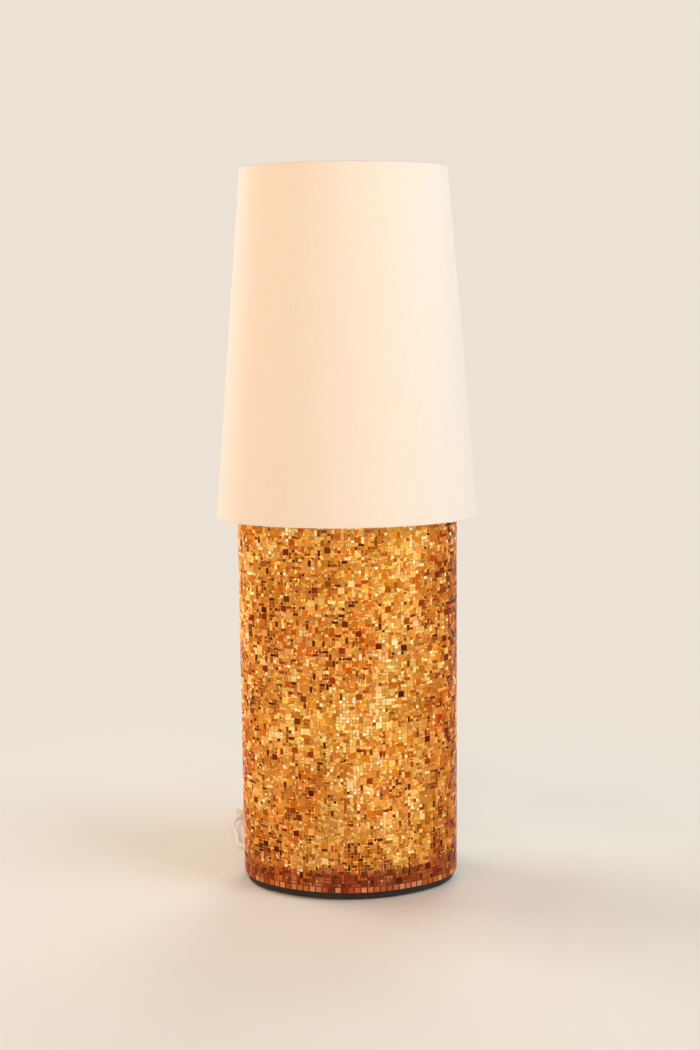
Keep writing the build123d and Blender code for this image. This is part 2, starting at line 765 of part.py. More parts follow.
def cord_bore():
    return gland_drill(CORD_RADIUS + THREAD_FIT, TERMINAL_REAR, RELIEF_TIP)


def cord_gland():
    flange_face = BACK_FACE + GLUE_GAP
    barrel = gland_drill(GLAND_RADIUS, POCKET_R + SIDE_TO_FACE - GLAND_NUT_HEIGHT, flange_face)
    flange = gland_drill(GLAND_FLANGE_RADIUS, flange_face, flange_face + GLAND_FLANGE)
    flange = fillet(flange.edges().group_by(Axis.Y)[-1], GLAND_EDGE)
    return barrel + flange - cord_bore()


def gland_nut():
    inner_face = side_point(POCKET_R, GLAND_FLANGE_RADIUS)[1]
    low = inner_face - GLAND_NUT_HEIGHT
    nut = gland_drill(GLAND_FLANGE_RADIUS, low, inner_face)
    return nut - gland_drill(GLAND_RADIUS + THREAD_FIT, low, inner_face)


def gland_relief():
    """Rubber sleeve that thins towards the cord, with shallow flexing grooves."""
    sleeve = taper(RELIEF_ROOT_RADIUS, RELIEF_TIP_RADIUS, RELIEF_LENGTH)
    slope = (RELIEF_ROOT_RADIUS - RELIEF_TIP_RADIUS) / RELIEF_LENGTH
    for groove in range(GROOVE_COUNT):
        at = GROOVE_START + GROOVE_PITCH * groove
        radius = RELIEF_ROOT_RADIUS - slope * at
        sleeve -= pipe(RELIEF_ROOT_RADIUS + GROOVE_DEPTH, radius - GROOVE_DEPTH, at, at + GROOVE_WIDTH)
    return Pos(0, RELIEF_BACK, GLAND_HEIGHT) * Rot(-90, 0, 0) * sleeve - cord_bore()


# Shade

def shade_r(height):
    """End radius of the shade's outer face at this height."""
    share = (height - SHADE_BOTTOM) / SHADE_HEIGHT
    return SHADE_LOW_R + (SHADE_HIGH_R - SHADE_LOW_R) * share


def wall_section(*points):
    """Section of a piece on the sloping wall, from (depth inwards from the outer face, height)."""
    outline = [(shade_r(height) - depth, 0, height) for depth, height in points]
    return make_face(Polyline(*outline, close=True))


def shade_panel():
    return oval_ring(
        wall_section(
            (0, SHADE_BOTTOM),
            (0, SHADE_TOP),
            (PANEL_THICKNESS, SHADE_TOP),
            (PANEL_THICKNESS, SHADE_BOTTOM),
        )
    )


def shade_seam():
    """Overlap strip down the middle of the back."""
    strip = oval_ring(
        wall_section(
            (-SEAM_GLUE, SHADE_BOTTOM),
            (-SEAM_GLUE, SHADE_TOP),
            (-SEAM_THICKNESS, SHADE_TOP),
            (-SEAM_THICKNESS, SHADE_BOTTOM),
        )
    )
    middle = (SHADE_BOTTOM + SHADE_TOP) / 2
    return strip & Pos(0, BODY_DEPTH, middle) * Box(SEAM_WIDTH, 2 * BODY_DEPTH, 2 * SHADE_HEIGHT)


WIRE_IN = PANEL_THICKNESS + SHADE_WIRE_RADIUS + HEM_CLEARANCE
WIRE_UP = HEM_THICKNESS + SHADE_WIRE_RADIUS + FOLD_CLEARANCE
HEM_IN = WIRE_IN + SHADE_WIRE_RADIUS + HEM_CLEARANCE + HEM_THICKNESS


def shade_wire(edge, up):
    """Round wire just inside one edge of the shade."""
    height = edge + up * WIRE_UP
    centre = (shade_r(height) - WIRE_IN, 0, height)
    return oval_ring(Plane(origin=centre, x_dir=(1, 0, 0), z_dir=(0, -1, 0)) * Circle(SHADE_WIRE_RADIUS))


def shade_hem(edge, up):
    """Covering turned in round the wire: under it, and up its inner side."""
    fold = edge + up * HEM_THICKNESS
    end = edge + up * HEM_HEIGHT
    return oval_ring(
        wall_section(
            (PANEL_THICKNESS, edge),
            (HEM_IN, edge),
            (HEM_IN, end),
            (HEM_IN - HEM_THICKNESS, end),
            (HEM_IN - HEM_THICKNESS, fold),
            (PANEL_THICKNESS, fold),
        )
    )


def fitter_arm(reach_x, reach_y, radius):
    """Wire arm from the shade's ring out and down to the bottom wire."""
    ring_middle = GALLERY_RIM_RADIUS + FITTER_CLEARANCE + FITTER_WIDTH / 2
    high = GALLERY_TOP + FITTER_THICKNESS + ARM_RADIUS - ARM_WELD
    low = SHADE_BOTTOM + WIRE_UP
    reach = math.hypot(reach_x, reach_y)
    x, y = reach_x / reach, reach_y / reach
    shoulder = ring_middle + ARM_SHOULDER
    route = [
        (x * ring_middle, y * ring_middle, high),
        (x * shoulder, y * shoulder, high),
        (reach_x, reach_y, low),
    ]
    path = FilletPolyline(*route, radius=ARM_SHOULDER / 2)
    start = Plane(origin=route[0], z_dir=(x, y, 0))
    return sweep(start * Circle(radius), path=path)


def fitter_arms(extra=0.0):
    """Four arms, to the ends and the sides of the bottom wire."""
    wire_r = shade_r(SHADE_BOTTOM + WIRE_UP) - WIRE_IN
    reach_x = END_OUT + wire_r
    reach_y = SIDE_TO_FACE + wire_r
    reaches = ((reach_x, 0), (0, reach_y), (-reach_x, 0), (0, -reach_y))
    return [fitter_arm(x, y, ARM_RADIUS + extra) for x, y in reaches]


def shade_fitter():
    """Flat ring that rests on the gallery, with four arms coped to the bottom wire."""
    inner = GALLERY_RIM_RADIUS + FITTER_CLEARANCE
    ring = pipe(inner + FITTER_WIDTH, inner, GALLERY_TOP, GALLERY_TOP + FITTER_THICKNESS)
    return ring + fitter_arms() - shade_wire(SHADE_BOTTOM, 1)


def slit_hem():
    """Bottom hem, slit where the fitter's arms go through it."""
    return shade_hem(SHADE_BOTTOM, 1) - fitter_arms(SLIT_CLEARANCE)


# Inline switch, drawn about its own middle with its length along X, then laid on its route

def switch_place():
    middle = lead_point((*SWITCH_FRONT, 0), SWITCH_HEADING, SWITCH_LENGTH / 2)
    return Pos(*middle) * Rot(0, 0, SWITCH_HEADING)


def switch_end(out, end=1):
    """Point on the cord's axis this far past the switch's rear end, or past its front end if end is -1."""
    middle = lead_point((*SWITCH_FRONT, SWITCH_PARTING), SWITCH_HEADING, SWITCH_LENGTH / 2)
    return lead_point(middle, SWITCH_HEADING, end * (SWITCH_LENGTH / 2 + out))


PIVOT_Z = SWITCH_HEIGHT - ROCKER_PIVOT_DROP


def switch_outer():
    outline = RectangleRounded(SWITCH_LENGTH, SWITCH_WIDTH, SWITCH_CORNER)
    block = extrude(outline, SWITCH_HEIGHT)
    block = fillet(block.edges().group_by(Axis.Z)[-1], SWITCH_TOP_EDGE)
    return fillet(block.edges().group_by(Axis.Z)[0], SWITCH_LOW_EDGE)


def switch_half(low, high):
    """One shell of the switch, between two heights, with the wall left on."""
    slab_height = high - low
    slab = Pos(0, 0, (low + high) / 2) * Box(2 * SWITCH_LENGTH, 2 * SWITCH_WIDTH, slab_height)
    inside = RectangleRounded(
        SWITCH_LENGTH - 2 * SWITCH_WALL, SWITCH_WIDTH - 2 * SWITCH_WALL, SWITCH_CORNER - SWITCH_WALL
    )
    hollow = Pos(0, 0, SWITCH_WALL) * extrude(inside, SWITCH_HEIGHT - 2 * SWITCH_WALL)
    return (switch_outer() & slab) - hollow


def switch_screw_places():
    x, y = SWITCH_SCREW_AT
    return [(-x, y), (x, -y)]


def switch_screw(extra=0.0):
    shank = SWITCH_SCREW_RADIUS + extra
    head = SWITCH_SCREW_HEAD + extra
    low = SWITCH_SCREW_SUNK
    top = SWITCH_SCREW_TOP
    return turned((0, low), (head, low), (shank, low + SWITCH_SCREW_CONE), (shank, top), (0, top))


def switch_base():
    shell = switch_half(0, SWITCH_PARTING)
    for x, y in switch_screw_places():
        shell += rod(SWITCH_BOSS_RADIUS, SWITCH_WALL, SWITCH_PARTING, x, y)
        shell -= Pos(x, y, 0) * switch_screw(SCREW_FIT)
        shell -= rod(SWITCH_SCREW_HEAD + SCREW_FIT, 0, SWITCH_SCREW_SUNK, x, y)
    return switch_place() * shell


def switch_cover():
    shell = switch_half(SWITCH_PARTING, SWITCH_HEIGHT)
    roof = SWITCH_HEIGHT - SWITCH_WALL
    for x, y in switch_screw_places():
        shell += rod(SWITCH_BOSS_RADIUS, SWITCH_PARTING, roof, x, y)
        shell -= Pos(x, y, 0) * switch_screw(SCREW_FIT)
    window = 2 * (ROCKER_RADIUS + ROCKER_GAP)
    window_width = ROCKER_WIDTH + 2 * ROCKER_GAP
    shell -= Pos(0, 0, SWITCH_HEIGHT) * Box(window, window_width, 4 * SWITCH_WALL)
    cheek_low = PIVOT_Z - CHEEK_DROP
    for side in (-1, 1):
        y = side * (window_width / 2 + CHEEK_THICKNESS / 2)
        shell += Pos(0, y, (cheek_low + roof) / 2) * Box(CHEEK_LENGTH, CHEEK_THICKNESS, roof - cheek_low)
    bore = 2 * (window_width / 2 + CHEEK_THICKNESS)
    shell -= Pos(0, 0, PIVOT_Z) * Rot(90, 0, 0) * Cylinder(PIN_RADIUS + PIN_HOLD, bore)
    return switch_place() * shell


def rocker():
    """Rocker with a dished top, tilted to its ON end."""
    middle, ends = ROCKER_DISH
    top_x = math.sqrt(ROCKER_RADIUS**2 - ends**2)
    low_x = math.sqrt(ROCKER_RADIUS**2 - ROCKER_BOTTOM**2)
    outline = [
        Line((-low_x, 0, -ROCKER_BOTTOM), (low_x, 0, -ROCKER_BOTTOM)),
        ThreePointArc((low_x, 0, -ROCKER_BOTTOM), (ROCKER_RADIUS, 0, 0), (top_x, 0, ends)),
        ThreePointArc((top_x, 0, ends), (0, 0, middle), (-top_x, 0, ends)),
        ThreePointArc((-top_x, 0, ends), (-ROCKER_RADIUS, 0, 0), (-low_x, 0, -ROCKER_BOTTOM)),
    ]
    block = Pos(0, ROCKER_WIDTH / 2, 0) * extrude(make_face(outline), ROCKER_WIDTH, dir=(0, -1, 0))
    block -= Rot(90, 0, 0) * Cylinder(PIN_RADIUS + PIN_FIT, 2 * ROCKER_WIDTH)
    return switch_place() * Pos(0, 0, PIVOT_Z) * Rot(0, ROCKER_TILT, 0) * block


def rocker_pin():
    length = ROCKER_WIDTH + 2 * ROCKER_GAP + 2 * CHEEK_THICKNESS
    return switch_place() * Pos(0, 0, PIVOT_Z) * Rot(90, 0, 0) * Cylinder(PIN_RADIUS, length)


def switch_screws():
    return [switch_place() * Pos(x, y, 0) * switch_screw() for x, y in switch_screw_places()]


def switch_terminals():
    """Brass clamps on the floor of the switch, two for each end."""
    height = SWITCH_TERMINAL_SIZE[2]
    block = Pos(0, 0, SWITCH_WALL + height / 2) * Box(*SWITCH_TERMINAL_SIZE)
    block -= rod(SWITCH_TERMINAL_BORE, SWITCH_WALL + height / 2, SWITCH_WALL + height)
    return [switch_place() * Pos(x, y, 0) * block for x, y in mirrored(*SWITCH_TERMINAL_AT)]


def switch_reliefs():
    """Tapered sleeves on both ends of the switch."""
    sleeves = []
    for turn in (-1, 1):
        sleeve = Rot(0, 90 * turn, 0) * taper(SWITCH_RELIEF_RADIUS, RELIEF_TIP_RADIUS, SWITCH_RELIEF_LENGTH)
        sleeves.append(switch_place() * Pos(turn * SWITCH_LENGTH / 2, 0, SWITCH_PARTING) * sleeve)
    return sleeves


# Cord and plug

def cord_to_switch():
    tip = switch_end(SWITCH_RELIEF_LENGTH, -1)
    last = lead_point(tip, SWITCH_HEADING, -SWITCH_LEAD)
    return flex("cord_to_switch", CORD_RADIUS, [(0, RELIEF_TIP, GLAND_HEIGHT)] + TO_SWITCH + [last, tip])


def cord_to_coil():
    tip = switch_end(SWITCH_RELIEF_LENGTH)
    first = lead_point(tip, SWITCH_HEADING, SWITCH_LEAD)
    start = (*COIL_START, FLOOR)
    last = lead_point(start, COIL_START_HEADING, -COIL_LEAD)
    return flex("cord_to_coil", CORD_RADIUS, [tip, first] + TO_COIL + [last, start])


COIL_IN_ANGLE = COIL_START_HEADING + 90
COIL_OUT_ANGLE = PLUG_HEADING + 90
COIL_CLIMB = 0.5
COIL_TURNS = 2 * COIL_TURNS_DOWN + (COIL_IN_ANGLE - COIL_OUT_ANGLE) / 360


def coil_centre():
    x, y, _ = lead_point((*COIL_START, FLOOR), COIL_START_HEADING, 2 * CORD_RADIUS)
    angle = math.radians(COIL_IN_ANGLE)
    return x - COIL_RADIUS * math.cos(angle), y - COIL_RADIUS * math.sin(angle)


def coil_state(turn):
    """Point and direction of the coil's centreline after this many turns.

    It spirals in on the floor, climbs a layer in the half turn where it turns back, and spirals out."""
    inner = COIL_RADIUS - COIL_TURNS_DOWN * COIL_PITCH
    into_climb = turn - COIL_TURNS_DOWN
    if into_climb <= 0:
        radius, radius_rate = COIL_RADIUS - COIL_PITCH * turn, -COIL_PITCH
        height, height_rate = FLOOR, 0.0
    elif into_climb < COIL_CLIMB:
        share = into_climb / COIL_CLIMB
        radius = inner - COIL_PITCH * into_climb * (1 - share)
        radius_rate = -COIL_PITCH * (1 - 2 * share)
        height = FLOOR + COIL_PITCH * (1 - math.cos(math.pi * share)) / 2
        height_rate = COIL_PITCH * math.pi / COIL_CLIMB * math.sin(math.pi * share) / 2
    else:
        radius, radius_rate = inner + COIL_PITCH * (into_climb - COIL_CLIMB), COIL_PITCH
        height, height_rate = FLOOR + COIL_PITCH, 0.0
    if turn in (0, COIL_TURNS):
        radius_rate = 0.0
    angle = math.radians(COIL_IN_ANGLE - 360 * turn)
    out = Vector(math.cos(angle), math.sin(angle), 0)
    along = Vector(math.sin(angle), -math.cos(angle), 0)
    centre_x, centre_y = coil_centre()
    point = Vector(centre_x, centre_y, height) + out * radius
    direction = along * (2 * math.pi * radius) + out * radius_rate + Vector(0, 0, height_rate)
    return point, direction.normalized()


def biarc(start, start_dir, end, end_dir):
    """Two arcs that join two points and keep the direction at each."""
    gap = end - start
    both = gap.dot(start_dir + end_dir)
    spread = 1 - start_dir.dot(end_dir)
    handle = (math.sqrt(both**2 + 2 * spread * gap.dot(gap)) - both) / (2 * spread)
    leave = start + start_dir * handle
    arrive = end - end_dir * handle
    joint = (leave + arrive) * 0.5
    return [
        Edge.make_tangent_arc(start, start_dir, joint),
        Edge.make_tangent_arc(joint, arrive - leave, end),
    ]


def coil_stops():
    """Turns at which the coil's biarcs meet, a quarter turn apart."""
    quarters = math.floor(COIL_TURNS * 4)
    stops = [quarter / 4 for quarter in range(quarters + 1)]
    if COIL_TURNS - stops[-1] < 1 / 16:
        stops.pop()
    return stops + [COIL_TURNS]


def cord_coil():
    states = [coil_state(turn) for turn in coil_stops()]
    first, first_dir = states[0]
    last, last_dir = states[-1]
    lead = 2 * CORD_RADIUS
    edges = [Edge.make_line(first - first_dir * lead, first)]
    for (start, start_dir), (end, end_dir) in zip(states, states[1:]):
        edges += biarc(start, start_dir, end, end_dir)
    edges.append(Edge.make_line(last, last + last_dir * lead))
    path = Wire(edges)
    section = Plane(origin=first - first_dir * lead, z_dir=first_dir) * Circle(CORD_RADIUS)
    solid = sweep(section, path=path)
    share = solid.volume / (math.pi * CORD_RADIUS**2 * path.length)
    print(f"cord_coil: {COIL_TURNS:.2f} turns, length {path.length:.1f}, volume share {share:.4f}")
    print(f"cord_coil: least gap to itself {coil_gap(path):.2f}")
    return solid


def coil_gap(path):
    """Least free gap between points of the coil that are over a third of a turn apart."""
    step = 2.0
    count = int(path.length / step)
    points = [path.position_at(index / count) for index in range(count + 1)]
    apart = int(2 * math.pi * (COIL_RADIUS - COIL_TURNS_DOWN * COIL_PITCH) / 3 / step)
    least = min(
        (points[i] - points[j]).length for i in range(count + 1) for j in range(i + apart, count + 1)
    )
    return least - 2 * CORD_RADIUS


def plug_tip():
    """Point where the cord meets the plug's relief."""
    last, _ = coil_state(COIL_TURNS)
    level = lead_point(tuple(last), PLUG_HEADING, 2 * CORD_RADIUS + COIL_PLUG_RUN + COIL_PLUG_SLOPE)
    x, y, _ = lead_point(level, PLUG_HEADING, COIL_PLUG_RUN)
    return x, y, PLUG_THICKNESS / 2


def cord_to_plug():
    last, _ = coil_state(COIL_TURNS)
    start = lead_point(tuple(last), PLUG_HEADING, 2 * CORD_RADIUS)
    tip = plug_tip()
    route = [
        start,
        lead_point(start, PLUG_HEADING, COIL_PLUG_RUN),
        lead_point(tip, PLUG_HEADING, -COIL_PLUG_RUN),
        tip,
    ]
    return flex("cord_to_plug", CORD_RADIUS, route)


def plug_place():
    x, y, z = plug_tip()
    return Pos(x, y, z) * Rot(0, 0, PLUG_HEADING)


def plug_relief():
    sleeve = taper(PLUG_RELIEF_RADIUS, RELIEF_TIP_RADIUS, PLUG_RELIEF_LENGTH)
    return plug_place() * Pos(PLUG_RELIEF_LENGTH, 0, 0) * Rot(0, -90, 0) * sleeve


def plug_body():
    """Flat moulded body that widens towards its pins."""
    neck = PLUG_NECK_WIDTH / 2
    wide = PLUG_WIDTH / 2
    outline = Polyline(
        (0, -neck),
        (0, neck),
        (PLUG_TAPER, wide),
        (PLUG_LENGTH, wide),
        (PLUG_LENGTH, -wide),
        (PLUG_TAPER, -wide),
        close=True,
    )
    block = Pos(PLUG_RELIEF_LENGTH, 0, -PLUG_THICKNESS / 2) * extrude(make_face(outline), PLUG_THICKNESS)
    block = fillet(block.edges().filter_by(Axis.Z), PLUG_CORNER)
    rims = block.edges().group_by(Axis.Z)
    block = fillet(rims[0] + rims[-1], PLUG_EDGE)
    return plug_place() * block


def plug_pins():
    face = PLUG_RELIEF_LENGTH + PLUG_LENGTH
    pins = []
    for side in (-1, 1):
        pin = rod(PLUG_PIN_RADIUS, 0, PLUG_PIN_LENGTH)
        pin = fillet(pin.edges().group_by(Axis.Z)[-1], PLUG_PIN_TIP)
        pins.append(plug_place() * Pos(face, side * PIN_SPACING / 2, 0) * Rot(0, 90, 0) * pin)
    return pins


def lay_out():
    """Every node's name and its solids, at rest."""
    upper_seat = CORE_TOP + CONTACT_HEIGHT
    lower_seat = BATTEN_SEAT + CONTACT_HEIGHT
    nodes = {
        "rubber_feet": rubber_feet(),
        "ballast_plate": ballast_plate(),
        "base_screws": base_screws(),
        "base_block": base_block(),
        "body_tube": body_tube(),
        "mosaic_bed": mosaic_bed(),
        "mosaic_skin": mosaic_skin(),
        "top_cap": top_cap(),
        "centre_pipe": centre_pipe(),
        "pipe_nuts": pipe_nuts(),
        "pipe_washers": pipe_washers(),
        "riser_sleeve": riser_sleeve(),
        "holder_cap": holder_cap(),
        "holder_shell": holder_shell(),
        "holder_core": holder_core(),
        "holder_contacts": [socket_shell(CORE_TOP), socket_contact(CORE_TOP)],
        "shade_ring_lower": shade_ring(GALLERY_Z, RING_LOW_HEIGHT, -1),
        "shade_ring_upper": shade_ring(GALLERY_TOP, RING_HIGH_HEIGHT, 1),
        "shade_gallery": shade_gallery(),
        "bulb_cap": [bulb_screw_cap(upper_seat), bulb_tip(upper_seat)],
        "bulb_globe": bulb_globe(upper_seat),
        "bulb_filament": bulb_filament(upper_seat),
        "terminal_block": terminal_block(),
        "pipe_wire": pipe_wire(),
        "holder_wires": [holder_wire(-1), holder_wire(1)],
        "supply_cord": supply_cord(),
        "cord_gland": cord_gland(),
        "gland_nut": gland_nut(),
        "gland_relief": gland_relief(),
        "shade_fitter": shade_fitter(),
        "shade_bottom_wire": shade_wire(SHADE_BOTTOM, 1),
        "shade_top_wire": shade_wire(SHADE_TOP, -1),
        "shade_panel": shade_panel(),
        "shade_hem_bottom": slit_hem(),
        "shade_hem_top": shade_hem(SHADE_TOP, -1),
        "shade_seam": shade_seam(),
        "cord_to_switch": cord_to_switch(),
        "switch_base": switch_base(),
        "switch_cover": switch_cover(),
        "rocker": rocker(),
        "rocker_pin": rocker_pin(),
        "switch_screws": switch_screws(),
        "switch_terminals": switch_terminals(),
        "switch_reliefs": switch_reliefs(),
        "cord_to_coil": cord_to_coil(),
        "cord_coil": cord_coil(),
        "cord_to_plug": cord_to_plug(),
        "plug_relief": plug_relief(),
        "plug_body": plug_body(),
        "plug_pins": plug_pins(),
    }
    for name, side in (("left", -1), ("right", 1)):
        place = Pos(side * END_OUT, 0, 0)
        nodes[f"{name}_batten"] = place * batten_body()
        nodes[f"{name}_batten_contacts"] = [
            place * socket_shell(BATTEN_SEAT),
            place * socket_contact(BATTEN_SEAT),
        ]
        nodes[f"{name}_bulb_cap"] = [place * bulb_screw_cap(lower_seat), place * bulb_tip(lower_seat)]
        nodes[f"{name}_bulb_glass"] = place * tube_bulb_glass(lower_seat)
    nodes["batten_screws"] = [
        Pos(x, 0, 0) * screw for x in (-END_OUT, END_OUT) for screw in batten_screws()
    ]
    return nodes


def main():
    os.makedirs("parts", exist_ok=True)
    for name, solids in lay_out().items():
        shape = Compound(children=solids) if isinstance(solids, list) else solids
        export_step(shape, f"parts/{name}.step")
    angle = math.radians(SWITCH_HEADING)
    pivot = switch_place() * Pos(0, 0, PIVOT_Z)
    print("rocker pivot", tuple(round(value, 3) for value in pivot.position))
    print("rocker axis", round(-math.sin(angle), 6), round(math.cos(angle), 6), 0)
    face = PLUG_RELIEF_LENGTH + PLUG_LENGTH
    for side in (-1, 1):
        root = plug_place() * Pos(face, side * PIN_SPACING / 2, 0)
        print("plug pin root", tuple(round(value, 3) for value in root.position))


main()
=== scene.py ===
# %% [markdown]
# # An oval floor lamp with a mosaic body
#
# The lamp is an oval drum clad in small amber glass tiles and lit from inside, with a tall plain shade that
# tapers upwards, a black recessed plinth, and a white cord with an inline switch behind it.
#
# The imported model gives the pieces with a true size: lampholder, pipe, base, switch and plug. This script
# keeps them and gives them a finish. It makes anew what an engineer's solid can't show: thousands of tiles,
# the grout between them, the cloth of the shade, and the cord as one smooth line. Lengths are in metres.

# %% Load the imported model
import math
import random

import bpy
import numpy as np
from mathutils import Matrix, Vector, noise


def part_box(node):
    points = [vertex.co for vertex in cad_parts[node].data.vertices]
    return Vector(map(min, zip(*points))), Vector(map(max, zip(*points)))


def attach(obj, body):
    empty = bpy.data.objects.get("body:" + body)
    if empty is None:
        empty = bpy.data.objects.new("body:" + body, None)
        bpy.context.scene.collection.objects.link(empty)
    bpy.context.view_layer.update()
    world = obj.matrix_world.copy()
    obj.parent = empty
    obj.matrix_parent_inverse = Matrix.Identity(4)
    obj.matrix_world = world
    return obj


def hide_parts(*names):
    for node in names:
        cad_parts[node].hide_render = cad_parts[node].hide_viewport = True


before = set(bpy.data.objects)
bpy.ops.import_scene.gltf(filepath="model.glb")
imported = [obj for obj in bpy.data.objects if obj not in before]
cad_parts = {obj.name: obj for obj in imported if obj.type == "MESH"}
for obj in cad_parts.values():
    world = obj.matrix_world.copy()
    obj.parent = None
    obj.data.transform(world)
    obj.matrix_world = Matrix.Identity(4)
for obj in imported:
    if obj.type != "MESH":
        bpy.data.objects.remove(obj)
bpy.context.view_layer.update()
MM = 0.001

# %% [markdown]
# ## The camera
#
# The picture was taken from about two metres away, a little above the middle of the shade's height, looking
# slightly down. A 50 mm lens on a 36 mm frame gives the same mild narrowing towards the floor. The camera is
# also rolled by about half a degree, because the picture is.

# %% Place the camera
LENS_MM = 50.2
FILM_HEIGHT_MM = 36.0
CAMERA_AWAY = 2.050
CAMERA_HEIGHT = 0.812
LOOK_DOWN = math.radians(8.22)
LOOK_LEFT = math.radians(-0.11)
ROLL = math.radians(-0.60)

lens = bpy.data.cameras.new("camera")
lens.lens = LENS_MM
lens.sensor_fit = "VERTICAL"
lens.sensor_height = FILM_HEIGHT_MM
camera = bpy.data.objects.new("camera", lens)
bpy.context.scene.collection.objects.link(camera)
aim = Matrix.Rotation(LOOK_LEFT, 4, "Z") @ Matrix.Rotation(math.radians(90) - LOOK_DOWN, 4, "X")
stand = Matrix.Translation((0, -CAMERA_AWAY, CAMERA_HEIGHT))
camera.matrix_world = stand @ aim @ Matrix.Rotation(ROLL, 4, "Z")
bpy.context.scene.camera = camera
bpy.context.scene.view_settings.view_transform = "Standard"
print("camera", tuple(round(value, 3) for value in camera.location))

# %% [markdown]
# ## Finishes
#
# Every finish is a Principled shader with a pattern wired into its colour, and most have one in their bump.
# Four small helpers are enough: one starts a finish from plain values, one adds a pattern node to it, one
# feeds a pattern into the shader, and one lets a pattern raise the surface. Colours are written as 0 to 255,
# as a paint chart gives them, and turned into the linear values that the shader works in.

# %% Helpers for colours and finishes
def tint(red, green, blue):
    """Linear colour from the 0 to 255 values of a paint chart."""
    linear = []
    for value in (red / 255, green / 255, blue / 255):
        linear.append(value / 12.92 if value <= 0.04045 else ((value + 0.055) / 1.055) ** 2.4)
    return tuple(linear)


finishes = []


def start_finish(name, colour, roughness, metallic=0.0, **sockets):
    """A finish with plain values. Further values go to the shader's sockets by name, _ for a space."""
    made = bpy.data.materials.new(name)
    finishes.append(made)
    made.use_nodes = True
    shader = made.node_tree.nodes["Principled BSDF"]
    shader.inputs["Base Color"].default_value = (*colour, 1)
    shader.inputs["Roughness"].default_value = roughness
    shader.inputs["Metallic"].default_value = metallic
    for socket, value in sockets.items():
        shader.inputs[socket.replace("_", " ")].default_value = value
    made.diffuse_color = (*colour, 1)
    return made


def add(made, kind, wires=(), **values):
    """A node of this kind, with its values set by name and its inputs wired from other sockets."""
    node = made.node_tree.nodes.new(kind)
    for name, value in values.items():
        if hasattr(node, name):
            setattr(node, name, value)
        else:
            node.inputs[name.replace("_", " ")].default_value = value
    for source, target in wires:
        made.node_tree.links.new(source, node.inputs[target])
    return node


def feed(made, source, socket):
    """Wires a pattern into the finish's shader."""
    made.node_tree.links.new(source, made.node_tree.nodes["Principled BSDF"].inputs[socket])


def raise_surface(made, height, strength, depth):
    """Lets a pattern raise the surface by up to this depth."""
    bump = add(made, "ShaderNodeBump", [(height, "Height")], Strength=strength, Distance=depth)
    feed(made, bump.outputs["Normal"], "Normal")


print("a mid grey of 128 is", round(tint(128, 128, 128)[0], 3), "in linear light")

# %% [markdown]
# Most finishes vary a little from place to place: paint pools, plastic yellows, metal is handled. One helper
# mixes two near colours by soft noise, and lets the same noise change the gloss. The mapping follows the
# object's own coordinates, so that the pattern stays put when the piece is seen from elsewhere. The last
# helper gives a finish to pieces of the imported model.

# %% Helpers for uneven colour and for dressing pieces
def object_noise(made, size, detail=3.0, stretch=(1, 1, 1)):
    """Soft noise whose blotches are about this many metres across."""
    place = add(made, "ShaderNodeTexCoord")
    scaled = add(made, "ShaderNodeMapping", [(place.outputs["Object"], "Vector")], Scale=stretch)
    return add(
        made, "ShaderNodeTexNoise", [(scaled.outputs["Vector"], "Vector")], Scale=1 / size, Detail=detail
    ).outputs["Fac"]


def spread(made, source, low, high, from_low=0.3, from_high=0.7):
    """Maps a pattern's middle range onto low to high."""
    node = add(made, "ShaderNodeMapRange", [(source, "Value")])
    for socket, value in (("From Min", from_low), ("From Max", from_high), ("To Min", low), ("To Max", high)):
        node.inputs[socket].default_value = value
    return node.outputs["Result"]


def blend(made, share, first, second):
    """Colour between two colours, which lies this share of the way to the second."""
    mix = add(made, "ShaderNodeMix", [(share, "Factor")], data_type="RGBA")
    mix_colours = [socket for socket in mix.inputs if socket.type == "RGBA"]
    for socket, colour in zip(mix_colours, (first, second)):
        socket.default_value = (*colour, 1)
    return next(socket for socket in mix.outputs if socket.type == "RGBA")


def uneven(made, first, second, size, gloss=None, stretch=(1, 1, 1)):
    """Colours the finish unevenly between two colours, and its roughness between the two values of gloss."""
    pattern = object_noise(made, size, stretch=stretch)
    feed(made, blend(made, spread(made, pattern, 0, 1), first, second), "Base Color")
    if gloss:
        feed(made, spread(made, pattern, *gloss), "Roughness")


def dress(made, *nodes):
    """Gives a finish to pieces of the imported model."""
    for name in nodes:
        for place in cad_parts[name].material_slots:
            place.material = made


print("finish helpers are ready")

# %% [markdown]
# ## The cord
#
# The supply cord is a round 5.2 mm flex. It leaves the back of the base through a gland, drops to the floor,
# swings out to the left where the picture shows it beside the body, and turns back to the inline switch.
# From there it goes to a neat coil behind the lamp, which holds the length that the picture doesn't show,
# and ends in its plug. A cord is a curve, not a bent pipe: its points only steer it, as control points of a
# smooth spline with a round section. They are in millimetres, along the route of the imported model's cord.

# %% The cord's two routes
CORD_RADIUS = 2.6 * MM
FLOOR_LINE = CORD_RADIUS + 0.05 * MM
SWITCH_LINE = 7.5 * MM
SWITCH_HEADING = math.radians(70)
LEAD = 20 * MM
to_switch = [
    (0, 138.3, 23), (0, 160, 23), (-5, 187, 16), (-23, 209, 7.5), (-52, 216, 2.65), (-82, 205, 2.65),
    (-101, 179, 2.65), (-110, 148, 2.65), (-118, 118.2, 2.65), (-138, 101.5, 2.65), (-160, 103, 2.65),
    (-174.5, 119, 2.65), (-176.5, 146, 2.65), (-181.5, 173, 3.6),
]
to_coil = [(-122.6, 338.5, 4.5), (-92.6, 338.5, 2.65), (-58.4, 327.4, 2.65), (-20, 310.3, 2.65)]


def metres(points):
    """Points in metres from points in millimetres."""
    return [Vector(point) * MM for point in points]


